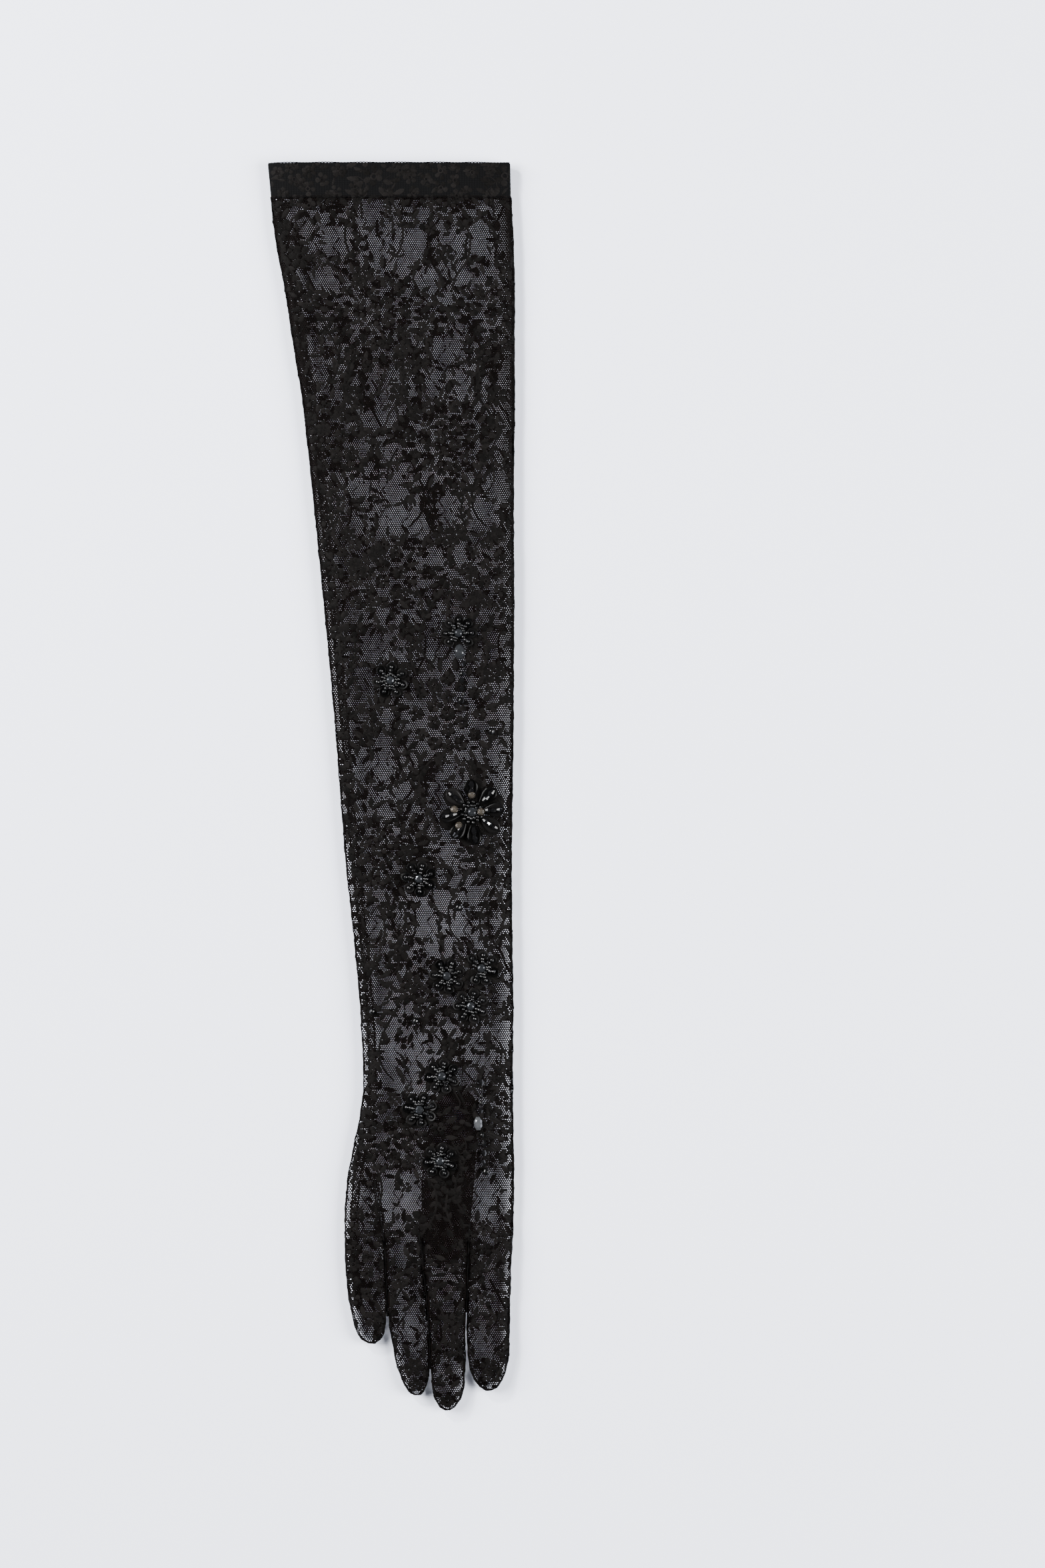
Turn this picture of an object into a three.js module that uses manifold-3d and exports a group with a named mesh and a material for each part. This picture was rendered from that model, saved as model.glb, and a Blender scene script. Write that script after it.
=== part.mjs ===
// Long black lace evening glove, right hand, lying flat with the back of the hand up.
// Millimetres, +Z up. +Y runs from the fingertips to the cuff, the fold of the lace is at +X.
// The origin is under the middle of the glove, on the surface that it lies on.
import * as THREE from 'three';
import Module from 'manifold-3d';
import { mergeVertices } from 'three/addons/utils/BufferGeometryUtils.js';

const wasm = await Module();
wasm.setup();

// Driving dimensions
const LENGTH = 648;
const CUFF_Y = LENGTH / 2;
const WALL = 1;
const GAP = 0.3;
const BAND_DEPTH = 18.4;
const BAND_WALL = 1.8;
const BAND_PROUD = 0.3;
const SLEEVE_SIDES = 24;
const FINGER_SIDES = 12;
const FLATNESS = 5;
const REST_FLATTENED = 1.08;
const SIMPLIFY = 0.02;

// The thumb lies folded under the palm, the hand is draped over it, and the middle finger
// runs down from it to its own tip
const THUMB_HIGH = 3;
const DRAPE_LIFT = THUMB_HIGH + 0.45;
const DRAPE_FROM = new THREE.Vector2(34.5, -167);
const DRAPE_TO = new THREE.Vector2(28.5, -236);
const DRAPE_HALF_WIDTH = 12.5;
const DRAPE_FALL = 11;
const BRIDGE = { from: -250, to: -318 };

// Sleeve and palm: the edges of the flat lace and its height, from cuff to knuckles
const SLEEVE = [
  { y: 324, left: -64.2, right: 62.1, high: 10.4 },
  { y: 305, left: -62.4, right: 62.4, high: 10.4 },
  { y: 284, left: -60.0, right: 63.5, high: 10.4 },
  { y: 257, left: -54.8, right: 64.2, high: 10.4 },
  { y: 229, left: -50.6, right: 64.0, high: 10.4 },
  { y: 201, left: -45.9, right: 64.2, high: 10.4 },
  { y: 166, left: -42.0, right: 63.7, high: 10.4 },
  { y: 132, left: -38.5, right: 63.6, high: 10.4 },
  { y: 97, left: -35.0, right: 63.9, high: 10.4 },
  { y: 62, left: -31.6, right: 63.6, high: 10.4 },
  { y: 28, left: -28.6, right: 63.5, high: 10.4 },
  { y: -7, left: -26.0, right: 62.9, high: 10.4 },
  { y: -42, left: -23.2, right: 62.5, high: 10.4 },
  { y: -76, left: -19.4, right: 62.8, high: 10.4 },
  { y: -111, left: -16.1, right: 63.4, high: 10.4 },
  { y: -145, left: -14.2, right: 63.1, high: 10.4 },
  { y: -160, left: -14.4, right: 63.2, high: 10.4 },
  { y: -174, left: -16.6, right: 63.3, high: 10.3 },
  { y: -187, left: -19.4, right: 63.5, high: 10.1 },
  { y: -201, left: -22.2, right: 63.8, high: 9.8 },
  { y: -217, left: -23.7, right: 63.6, high: 9.5 },
  { y: -236.4, left: -23.4, right: 62.3, high: 8.0, low: 0.4 },
];

// Sections: long steps down the arm, short ones where the hand is draped
const ARM_PLACES = [284, 250, 212, 166, 120, 74, 28, -18, -64, -105, -135];
const HAND_PLACES = Array.from({ length: 9 }, (_, n) => -144 - 9.5 * n);

// Fingers: edges and height of each flat tube, then where its round tip ends
const FINGERS = {
  little: {
    rows: [
      { y: -216, left: -23.0, right: -4.6, high: 7.6, low: 0.4 },
      { y: -232, left: -24.2, right: -3.8, high: 8.8 },
      { y: -250, left: -23.6, right: -3.3, high: 8.8 },
      { y: -267, left: -21.8, right: -2.5, high: 8.6 },
      { y: -279, left: -19.1, right: -2.5, high: 8.4 },
    ],
    tip: { x: -10.2, y: -289 },
  },
  ring: {
    rows: [
      { y: -216, left: -3.4, right: 15.8, high: 7.6, low: 0.4 },
      { y: -232, left: -3.2, right: 16.2, high: 8.8 },
      { y: -250, left: -2.4, right: 16.5, high: 8.8 },
      { y: -267, left: -1.6, right: 18.4, high: 8.6 },
      { y: -281, left: -0.6, right: 19.4, high: 8.6 },
      { y: -298, left: 2.4, right: 19.9, high: 8.4 },
      { y: -306, left: 5.0, right: 19.7, high: 8.2 },
    ],
    tip: { x: 13.6, y: -315.8 },
  },
  middle: {
    rows: [
      { y: -216, left: 17.0, right: 39.6, high: 7.6, low: 0.4 },
      { y: -232, left: 16.8, right: 40.0, high: 8.8 },
      { y: -250, left: 17.3, right: 39.4, high: 8.8 },
      { y: -267, left: 19.3, right: 38.7, high: 8.6 },
      { y: -281, left: 20.3, right: 38.4, high: 8.6 },
      { y: -298, left: 20.8, right: 38.5, high: 8.4 },
      { y: -312, left: 21.2, right: 38.1, high: 8.2 },
    ],
    tip: { x: 29.2, y: -324 },
  },
  index: {
    rows: [
      { y: -216, left: 41.4, right: 62.4, high: 7.6, low: 0.4 },
      { y: -232, left: 40.8, right: 63.3, high: 9.3 },
      { y: -250, left: 40.3, right: 62.2, high: 9.3 },
      { y: -267, left: 39.7, right: 61.7, high: 9.1 },
      { y: -281, left: 39.5, right: 61.5, high: 9.1 },
      { y: -294, left: 39.9, right: 61.3, high: 8.9 },
      { y: -303, left: 41.2, right: 59.8, high: 8.6 },
    ],
    tip: { x: 50.7, y: -313.5 },
  },
};

// Thumb pouch: a flat tube with both ends round, on the floor under the palm
const THUMB = {
  start: { x: 34, y: -157 },
  rows: [
    { y: -166, left: 23.5, right: 44.5, high: THUMB_HIGH },
    { y: -182, left: 18.5, right: 44.4, high: THUMB_HIGH },
    { y: -205, left: 16.0, right: 43.0, high: THUMB_HIGH },
    { y: -225, left: 16.0, right: 41.0, high: THUMB_HIGH },
    { y: -238, left: 18.0, right: 39.0, high: THUMB_HIGH },
  ],
  tip: { x: 28.5, y: -249 },
};
const THUMB_MOUTH = { x: 34, y: -178, halfWidth: 9, halfLength: 13, sides: 16 };

// Outer seam: the turned-in edges of the lace, seen through the top layer
const SEAM = { inset: 3.0, width: 3.4, thick: 0.8, under: 0.78, from: 303, to: -272 };

// Bead embroidery: where each flower is sewn, and its round sequins' first angle and step
const SMALL_FLOWERS = [
  { x: 35.1, y: 79.8, petals: 7, first: -47, step: 45.7 },
  { x: -0.2, y: 55.3, petals: 7, first: -120, step: 51.4 },
  { x: 14.5, y: -47.6, petals: 7, first: -31, step: 51.4 },
  { x: 29.1, y: -98.0, petals: 7, first: 20, step: 51.4 },
  { x: 46.9, y: -94.0, petals: 6, first: -120, step: 51.4 },
  { x: 41.4, y: -113.6, petals: 7, first: 27, step: 51.4 },
  { x: 26.7, y: -150.1, petals: 7, first: -70, step: 51.4 },
  { x: 15.2, y: -167.4, petals: 7, first: -31, step: 51.4 },
  { x: 25.6, y: -193.7, petals: 7, first: -20, step: 51.4 },
];
const SEQUIN = { radius: 2.65, thick: 0.5, ring: 6.9, lean: 0.12 };
const ROSETTE = { radius: 5.0, rise: 1.3, sides: 8 };
const CENTRE_STONE = { radius: 2.4, girdle: 0.7, crown: 0.9, table: 0.6, seat: 1.1 };

const LARGE_FLOWER = { x: 42.0, y: -13.0, turn: 3, petals: 8 };
const LARGE_PETAL = { from: 4.6, length: 12.8, halfWidth: 3.9, thick: 0.6, lean: 0.05 };
const LARGE_ROSETTE = { radius: 6.2, rise: 2.2, sides: 14 };
const CRYSTAL = { radius: 1.9, height: 2.3 };
const CRYSTALS = [
  { angle: 91, ring: 8.6 },
  { angle: 172, ring: 9.0 },
  { angle: 226, ring: 9.0 },
  { angle: 2, ring: 5.0 },
];

// Bead drops: places down each string, with the bead's shape and half sizes
const ARM_DROP = [
  { x: 35.7, y: 70.0, shape: 'navette', half: 2.8, length: 8.0 },
  { x: 37.8, y: 64.0, shape: 'bicone', half: 1.5, length: 3.0 },
  { x: 38.3, y: 61.3, shape: 'round', half: 1.0, length: 1.8 },
  { x: 37.0, y: 58.6, shape: 'round', half: 1.5, length: 2.8 },
  { x: 36.8, y: 55.1, shape: 'bicone', half: 1.5, length: 3.0 },
  { x: 36.8, y: 51.0, shape: 'bicone', half: 1.5, length: 3.0 },
  { x: 37.9, y: 47.9, shape: 'round', half: 1.0, length: 1.8 },
  { x: 36.4, y: 44.8, shape: 'round', half: 1.9, length: 3.6 },
];
const HAND_DROP = [
  { x: 47.0, y: -153.1, shape: 'bicone', half: 1.5, length: 3.0 },
  { x: 46.9, y: -157.0, shape: 'round', half: 1.0, length: 1.8 },
  { x: 46.8, y: -160.2, shape: 'round', half: 1.0, length: 1.8 },
  { x: 46.8, y: -163.6, shape: 'round', half: 1.1, length: 2.0 },
  { x: 46.7, y: -167.4, shape: 'bicone', half: 1.5, length: 3.0 },
  { x: 45.3, y: -174.4, shape: 'baguette', half: 2.3, length: 7.6 },
  { x: 47.3, y: -180.3, shape: 'round', half: 1.1, length: 2.0 },
  { x: 48.3, y: -184.8, shape: 'bicone', half: 1.5, length: 3.0 },
  { x: 48.4, y: -189.6, shape: 'bicone', half: 1.6, length: 3.0 },
  { x: 47.9, y: -194.7, shape: 'bicone', half: 1.5, length: 3.0 },
  { x: 49.4, y: -199.3, shape: 'round', half: 1.9, length: 3.6 },
];
const THREAD_HALF = 0.45;

const LONE_BEADS = [
  { x: 52.2, y: 28.8, half: 1.7 },
  { x: 35.0, y: -62.4, half: 1.9 },
  { x: 12.8, y: -121.3, half: 1.7 },
  { x: -9.6, y: -116.4, half: 1.5 },
];

// Materials
const lace = new THREE.MeshStandardMaterial({ color: 0x151516, roughness: 0.85, metalness: 0 });
const band = new THREE.MeshStandardMaterial({ color: 0x111112, roughness: 0.9, metalness: 0 });
const seamLace = new THREE.MeshStandardMaterial({ color: 0x0e0e0f, roughness: 0.9, metalness: 0 });
const jet = new THREE.MeshStandardMaterial({ color: 0x0b0b0c, roughness: 0.12, metalness: 0.1 });

// A closed geometry as an exact solid for joins and cuts, and back
function solidOf(geometry) {
  const bare = geometry.clone();
  bare.deleteAttribute('normal');
  bare.deleteAttribute('uv');
  const merged = mergeVertices(bare, 1e-4);
  return new wasm.Manifold(new wasm.Mesh({
    numProp: 3,
    vertProperties: new Float32Array(merged.attributes.position.array),
    triVerts: new Uint32Array(merged.index.array),
  }));
}

function geometryOf(solid) {
  const mesh = solid.getMesh();
  const geometry = new THREE.BufferGeometry();
  geometry.setAttribute('position', new THREE.BufferAttribute(mesh.vertProperties, 3));
  geometry.setIndex(new THREE.BufferAttribute(mesh.triVerts, 1));
  geometry.computeVertexNormals();
  return geometry;
}

function joined(geometries) {
  return geometries.map(solidOf).reduce((whole, piece) => whole.add(piece)).simplify(SIMPLIFY);
}

// A cut solid without the slivers that the cut leaves loose
function cleaned(solid) {
  const bodies = solid.simplify(SIMPLIFY).decompose();
  return bodies.reduce((best, body) => (body.volume() > best.volume() ? body : best));
}

function named(name, geometry, material) {
  const mesh = new THREE.Mesh(geometry, material);
  mesh.name = name;
  return mesh;
}

// How far the hand is lifted where it is draped over the thumb
function drape(x, y) {
  const along = DRAPE_TO.clone().sub(DRAPE_FROM);
  const point = new THREE.Vector2(x, y).sub(DRAPE_FROM);
  const share = THREE.MathUtils.clamp(point.dot(along) / along.lengthSq(), 0, 1);
  const away = point.distanceTo(along.multiplyScalar(share));
  return DRAPE_LIFT * (1 - THREE.MathUtils.smoothstep(away - DRAPE_HALF_WIDTH, 0, DRAPE_FALL));
}

// A table's row at any y, on a smooth curve through its rows
function rowAt(rows, y) {
  const last = rows.length - 1;
  let i = rows.findIndex((row) => row.y <= y);
  i = THREE.MathUtils.clamp(i < 0 ? last : i, 1, last);
  const near = [i - 2, i - 1, i, i + 1].map((n) => rows[THREE.MathUtils.clamp(n, 0, last)]);
  const [before, high, low, after] = near;
  const span = low.y - high.y;
  const t = THREE.MathUtils.clamp((y - high.y) / span, 0, 1);
  const blend = (key) => {
    const startSlope = before === high ? (low[key] - high[key]) / span
      : (low[key] - before[key]) / (low.y - before.y);
    const endSlope = after === low ? (low[key] - high[key]) / span
      : (after[key] - high[key]) / (after.y - high.y);
    return (2 * t ** 3 - 3 * t ** 2 + 1) * high[key] + (t ** 3 - 2 * t ** 2 + t) * span * startSlope
      + (3 * t ** 2 - 2 * t ** 3) * low[key] + (t ** 3 - t ** 2) * span * endSlope;
  };
  const share = (row) => row.low ?? 0;
  const floor = THREE.MathUtils.lerp(share(high), share(low), t);
  return { y, left: blend('left'), right: blend('right'), high: blend('high'), low: floor };
}

// Half height of a flat tube, 0 to 1, at a share of its half width
function fullness(share) {
  return Math.sqrt(Math.max(0, 1 - share ** FLATNESS));
}

// The middle finger slopes down from the thumb's end to its tip
function bridged(x, y) {
  return Math.max(drape(x, y), DRAPE_LIFT * Math.min(1, (BRIDGE.to - y) / (BRIDGE.to - BRIDGE.from)));
}

// One section of a flat tube: a little crowned on top, level where it rests
function section(row, { inset = 0, sides, shrink = 1, lift = drape }) {
  const middle = (row.left + row.right) / 2;
  const centre = (row.low ?? 0) + row.high / 2;
  const halfWidth = ((row.right - row.left) / 2 - inset) * shrink;
  const halfHeight = (row.high / 2 - inset) * shrink;
  return Array.from({ length: sides }, (_, k) => {
    const angle = (2 * Math.PI * k) / sides;
    const share = 1 - (1 - Math.abs(Math.cos(angle))) ** 1.6;
    const full = fullness(share);
    const x = middle + halfWidth * share * Math.sign(Math.cos(angle));
    const z = Math.sin(angle) > 0 ? full : -Math.min(1, REST_FLATTENED * full);
    return new THREE.Vector3(x, row.y, centre + halfHeight * z + lift(x, row.y));
  });
}

// A closed body through sections, each end closed by strips from its top to its bottom
function loft(sections) {
  const sides = sections[0].length;
  const quads = [];
  for (let i = 0; i < sections.length - 1; i += 1) {
    for (let k = 0; k < sides; k += 1) {
      const [a, b] = [i * sides + k, i * sides + ((k + 1) % sides)];
      quads.push([a, b, b + sides, a + sides]);
    }
  }
  for (let k = 0; k < sides / 2; k += 1) {
    const strip = [k, (sides - k) % sides, sides - k - 1, k + 1];
    const end = strip.map((n) => n + (sections.length - 1) * sides);
    quads.push(strip, end.reverse());
  }
  const faces = quads.flatMap(([a, b, c, d]) => [[a, b, c], [a, c, d]]);
  const geometry = new THREE.BufferGeometry().setFromPoints(sections.flat());
  geometry.setIndex(faces.filter(([a, b, c]) => a !== b && b !== c && a !== c).flat());
  return geometry;
}

// Sections that close a tube from one of its rows to a round end
function roundEnd(row, end, options) {
  const reach = end.y - row.y + Math.sign(row.y - end.y) * (options.inset ?? 0);
  const middle = (row.left + row.right) / 2;
  return [30, 54, 74].map((degrees) => {
    const angle = THREE.MathUtils.degToRad(degrees);
    const shift = (end.x - middle) * Math.sin(angle) ** 2;
    const moved = {
      ...row,
      y: row.y + reach * Math.sin(angle),
      left: row.left + shift,
      right: row.right + shift,
    };
    return section(moved, { ...options, shrink: Math.cos(angle) ** 0.8 });
  });
}

function fingerTube(finger, inset) {
  const lift = finger === FINGERS.middle ? bridged : drape;
  const options = { inset, sides: FINGER_SIDES, lift };
  const body = finger.rows.map((row) => section(row, options));
  return loft([...body, ...roundEnd(finger.rows.at(-1), finger.tip, options)]);
}

function sleeveTube(inset, from, to) {
  const options = { inset, sides: SLEEVE_SIDES };
  const places = [from, ...ARM_PLACES, ...HAND_PLACES, to];
  return loft(places.map((y) => section({ ...rowAt(SLEEVE, y), y }, options)));
}

const BAND_END = CUFF_Y - BAND_DEPTH;
const PALM_END = SLEEVE.at(-1).y;

function laceShell() {
  const outer = joined([
    sleeveTube(0, BAND_END - GAP, PALM_END),
    ...Object.values(FINGERS).map((finger) => fingerTube(finger, 0)),
  ]);
  const hollow = joined([
    sleeveTube(WALL, BAND_END + WALL, PALM_END + WALL),
    ...Object.values(FINGERS).map((finger) => fingerTube(finger, WALL)),
  ]);
  return cleaned(outer.subtract(hollow).subtract(thumbMouth()));
}

// The oval hole where the thumb is set in, through the palm and the pouch's top
function thumbMouth() {
  const { x, y, halfWidth, halfLength, sides } = THUMB_MOUTH;
  const cutter = new THREE.CylinderGeometry(1, 1, THUMB_HIGH, sides);
  cutter.rotateX(Math.PI / 2);
  cutter.scale(halfWidth, halfLength, 1);
  cutter.translate(x, y, THUMB_HIGH);
  return solidOf(cutter);
}

function thumbPouch() {
  const tube = (inset) => {
    const options = { inset, sides: FINGER_SIDES, lift: () => 0 };
    const body = THUMB.rows.map((row) => section(row, options));
    const base = roundEnd(THUMB.rows[0], THUMB.start, options).reverse();
    return solidOf(loft([...base, ...body, ...roundEnd(THUMB.rows.at(-1), THUMB.tip, options)]));
  };
  return cleaned(tube(0).subtract(tube(WALL)).subtract(thumbMouth()));
}

function hemBand() {
  const ring = (inset, from, to) => {
    const options = { inset, sides: SLEEVE_SIDES };
    return solidOf(loft([from, to].map((y) => {
      const row = rowAt(SLEEVE, y);
      return section({ ...row, y, high: SLEEVE[0].high + 2 * BAND_PROUD }, options);
    })));
  };
  const inset = BAND_WALL - BAND_PROUD;
  return ring(0, CUFF_Y, BAND_END).subtract(ring(inset, CUFF_Y + WALL, BAND_END - WALL));
}

// Seam strip: hangs just under the top layer, following the outer edge to the little finger
function seamStrip() {
  const finger = FINGERS.little.rows.slice(1);
  const places = [SEAM.from, ...ARM_PLACES, ...HAND_PLACES, ...finger.map((row) => row.y), SEAM.to];
  const sections = places.filter((y) => y >= SEAM.to).map((y) => {
    const row = rowAt(y <= finger[0].y ? finger : SLEEVE, y);
    const middle = (row.left + row.right) / 2;
    const halfWidth = (row.right - row.left) / 2 - WALL;
    const under = (x) => {
      const rise = (row.high / 2 - WALL) * fullness(Math.abs(x - middle) / halfWidth);
      return row.low + row.high / 2 + rise + drape(x, y) - SEAM.under;
    };
    const [near, far] = [row.left + SEAM.inset, row.left + SEAM.inset + SEAM.width];
    return [
      new THREE.Vector3(far, y, under(far) - SEAM.thick),
      new THREE.Vector3(far, y, under(far)),
      new THREE.Vector3(near, y, under(near)),
      new THREE.Vector3(near, y, under(near) - SEAM.thick),
    ];
  });
  return loft(sections);
}

// Cut stone with a girdle, a crown and a flat table, standing on z = 0
function cutStone(radius, { girdle, crown, table }, sides = 8) {
  const profile = [
    new THREE.Vector2(0, -0.4),
    new THREE.Vector2(radius, -0.4),
    new THREE.Vector2(radius, girdle),
    new THREE.Vector2(radius * table, girdle + crown),
    new THREE.Vector2(0, girdle + crown),
  ];
  return new THREE.LatheGeometry(profile, sides).rotateX(Math.PI / 2);
}

// The packed seed beads round a flower's centre, as one low dome
function rosette({ radius, rise, sides }) {
  const profile = [
    new THREE.Vector2(0, 0),
    new THREE.Vector2(radius, 0),
    new THREE.Vector2(radius * 0.85, rise),
    new THREE.Vector2(0, rise),
  ];
  return new THREE.LatheGeometry(profile, sides).rotateX(Math.PI / 2);
}

function smallFlower({ petals, first, step }) {
  const sequins = Array.from({ length: petals }, (_, n) => {
    const sequin = new THREE.CylinderGeometry(SEQUIN.radius, SEQUIN.radius, SEQUIN.thick, 8);
    sequin.rotateX(Math.PI / 2);
    sequin.rotateY(-SEQUIN.lean);
    sequin.translate(SEQUIN.ring, 0, SEQUIN.thick / 2 + SEQUIN.radius * SEQUIN.lean);
    return sequin.rotateZ(THREE.MathUtils.degToRad(first + step * n));
  });
  const stone = cutStone(CENTRE_STONE.radius, CENTRE_STONE).translate(0, 0, CENTRE_STONE.seat);
  return geometryOf(joined([rosette(ROSETTE), ...sequins, stone]));
}

// Drop-shaped petal sequin, pointed at the flower's middle
function dropPetal() {
  const { from, length, halfWidth, thick, lean } = LARGE_PETAL;
  const outline = new THREE.Shape();
  outline.moveTo(0, 0);
  outline.quadraticCurveTo(length * 0.45, -halfWidth * 1.5, length * 0.8, -halfWidth * 0.9);
  outline.quadraticCurveTo(length * 1.05, 0, length * 0.8, halfWidth * 0.9);
  outline.quadraticCurveTo(length * 0.45, halfWidth * 1.5, 0, 0);
  const petal = new THREE.ExtrudeGeometry(outline, { depth: thick, bevelEnabled: false, curveSegments: 3 });
  return petal.rotateY(-lean).translate(from, 0, 0);
}

function bicone(half, length) {
  const profile = [[0, -1.15], [1, 0], [0, 1.15]];
  const points = profile.map(([r, z]) => new THREE.Vector2(r * half, (z * length) / 2));
  return new THREE.LatheGeometry(points, 6);
}

function largeFlower() {
  const { petals: count } = LARGE_FLOWER;
  const petals = Array.from({ length: count }, (_, n) => {
    const beads = [0.42, 0.74].map((share) => {
      const bead = bicone(1.5, 3.2).rotateZ(Math.PI / 2);
      return bead.translate(LARGE_PETAL.from + LARGE_PETAL.length * share, 0, 1.7);
    });
    return [dropPetal(), ...beads].map((piece) => piece.rotateZ((2 * Math.PI * n) / count));
  }).flat();
  const crystals = CRYSTALS.map(({ angle, ring }) => {
    const ball = new THREE.SphereGeometry(CRYSTAL.radius, 10, 4).translate(ring, 0, CRYSTAL.height);
    return ball.rotateZ(THREE.MathUtils.degToRad(angle - LARGE_FLOWER.turn));
  });
  const stone = cutStone(2.4, CENTRE_STONE).translate(0, 0, LARGE_ROSETTE.rise - 0.3);
  return geometryOf(joined([rosette(LARGE_ROSETTE), ...petals, ...crystals, stone]));
}

// Oval or oblong stone with a table and a ring of facets, long side along Y
function longStone(half, length, sides) {
  const stone = cutStone(1, { girdle: 0.5, crown: 0.9, table: 0.62 }, sides);
  return stone.scale(half, length / 2, 1.4).translate(0, 0, -0.5);
}

const BEAD_SHAPES = {
  navette: (half, length) => longStone(half, length, 12),
  baguette: (half, length) => longStone(half, length, 8),
  bicone,
  round: (half, length) => new THREE.SphereGeometry(half, 10, 4).scale(1, length / 2 / half, 1),
};

// The height of the lace's top face at a place
const down = new THREE.Vector3(0, 0, -1);
function topOf(shell, x, y) {
  const ray = new THREE.Raycaster(new THREE.Vector3(x, y, 100), down);
  return ray.intersectObject(shell)[0]?.point.z ?? 0;
}

// Sews a rigid piece on the lace: tilted with the face under it and clear of it all round
function sewOn(mesh, shell, { x, y, turn = 0 }, radius) {
  const slopeX = (topOf(shell, x + radius, y) - topOf(shell, x - radius, y)) / (2 * radius);
  const slopeY = (topOf(shell, x, y + radius) - topOf(shell, x, y - radius)) / (2 * radius);
  const spots = Array.from({ length: 60 }, (_, n) => {
    const angle = (n % 12) * (Math.PI / 6);
    const away = radius * (Math.floor(n / 12) / 4);
    return [away * Math.cos(angle), away * Math.sin(angle)];
  });
  const plane = spots.map(([dx, dy]) => topOf(shell, x + dx, y + dy) - slopeX * dx - slopeY * dy);
  const normal = new THREE.Vector3(-slopeX, -slopeY, 1).normalize();
  mesh.position.set(x, y, Math.max(...plane) + GAP + 0.2);
  mesh.quaternion.setFromUnitVectors(new THREE.Vector3(0, 0, 1), normal);
  mesh.rotateZ(THREE.MathUtils.degToRad(turn));
  return mesh;
}

// A string of beads on its thread, laid along the lace, as one body
function beadDrop(beads, shell) {
  const seats = beads.map(({ x, y, half, shape }) => {
    const flat = shape === 'navette' || shape === 'baguette';
    const lowest = flat ? 1.26 : half;
    return new THREE.Vector3(x, y, topOf(shell, x, y) + GAP + 0.2 + lowest);
  });
  const pieces = beads.map(({ shape, half, length }, n) => {
    const bead = BEAD_SHAPES[shape](half, length);
    return bead.translate(seats[n].x, seats[n].y, seats[n].z);
  });
  const threads = seats.slice(1).map((seat, n) => {
    const from = seats[n];
    const thread = new THREE.CylinderGeometry(THREAD_HALF, THREAD_HALF, from.distanceTo(seat), 4);
    thread.rotateX(Math.PI / 2).lookAt(seat.clone().sub(from));
    return thread.translate(...from.clone().lerp(seat, 0.5).toArray());
  });
  return geometryOf(joined([...pieces, ...threads]));
}

const glove = new THREE.Group();
const shell = named('lace_shell', geometryOf(laceShell()), lace);
glove.add(shell);
glove.add(named('thumb', geometryOf(thumbPouch()), lace));
glove.add(named('hem_band', geometryOf(hemBand()), band));
glove.add(named('outer_seam', seamStrip(), seamLace));

SMALL_FLOWERS.forEach((place, n) => {
  const flower = named(`bead_flower_${n + 1}`, smallFlower(place), jet);
  glove.add(sewOn(flower, shell, place, SEQUIN.ring + SEQUIN.radius));
});
const large = named('large_bead_flower', largeFlower(), jet);
glove.add(sewOn(large, shell, LARGE_FLOWER, LARGE_PETAL.from + LARGE_PETAL.length));
glove.add(named('arm_bead_drop', beadDrop(ARM_DROP, shell), jet));
glove.add(named('hand_bead_drop', beadDrop(HAND_DROP, shell), jet));
LONE_BEADS.forEach((place, n) => {
  const bead = new THREE.SphereGeometry(place.half, 10, 5).translate(0, 0, place.half);
  glove.add(sewOn(named(`lone_bead_${n + 1}`, bead, jet), shell, place, place.half));
});

export default glove;
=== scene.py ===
import math

import bpy
import numpy as np
from mathutils import Matrix, Vector
from mathutils.bvhtree import BVHTree


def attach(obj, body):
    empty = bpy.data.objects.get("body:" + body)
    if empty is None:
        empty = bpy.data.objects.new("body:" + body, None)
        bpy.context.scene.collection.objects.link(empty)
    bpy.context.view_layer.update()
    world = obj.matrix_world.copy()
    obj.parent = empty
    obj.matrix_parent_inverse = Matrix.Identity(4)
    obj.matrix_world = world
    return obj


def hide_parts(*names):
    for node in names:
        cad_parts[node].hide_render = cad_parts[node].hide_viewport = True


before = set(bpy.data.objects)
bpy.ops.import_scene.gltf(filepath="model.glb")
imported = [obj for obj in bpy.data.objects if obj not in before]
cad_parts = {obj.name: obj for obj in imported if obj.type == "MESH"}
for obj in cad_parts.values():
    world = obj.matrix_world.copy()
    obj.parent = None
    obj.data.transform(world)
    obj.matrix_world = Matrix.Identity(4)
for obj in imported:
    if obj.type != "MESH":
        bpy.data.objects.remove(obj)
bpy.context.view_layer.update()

# Lace cloth. The sleeve, the palm and the four fingers are one width of black floral lace,
# folded round on the index finger's side, so it lies in two layers: a top one and an under one.
# Its outline is given by tables of (y, left, right), in millimetres.
MM = 0.001
chance = np.random.default_rng(19)
SLEEVE = (
    (324, -64.2, 62.1), (305, -62.4, 62.4), (284, -60.0, 63.5), (257, -54.8, 64.2), (229, -50.6, 64.0),
    (201, -45.9, 64.2), (166, -42.0, 63.7), (132, -38.5, 63.6), (97, -35.0, 63.9), (62, -31.6, 63.6),
    (28, -28.6, 63.5), (-7, -26.0, 62.9), (-42, -23.2, 62.5), (-76, -19.4, 62.8), (-111, -16.1, 63.4),
    (-145, -14.2, 63.1), (-160, -14.4, 63.2), (-174, -16.6, 63.3), (-187, -19.4, 63.5), (-201, -22.2, 63.8),
    (-217, -23.8, 63.6), (-236, -24.0, 63.1),
)
LITTLE = (
    (-232, -24.0, -3.8), (-250, -23.6, -3.3), (-267, -21.8, -2.5), (-279, -19.1, -2.9),
    (-284, -17.3, -3.9), (-287, -15.3, -5.6), (-289, -12.0, -8.6),
)
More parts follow.
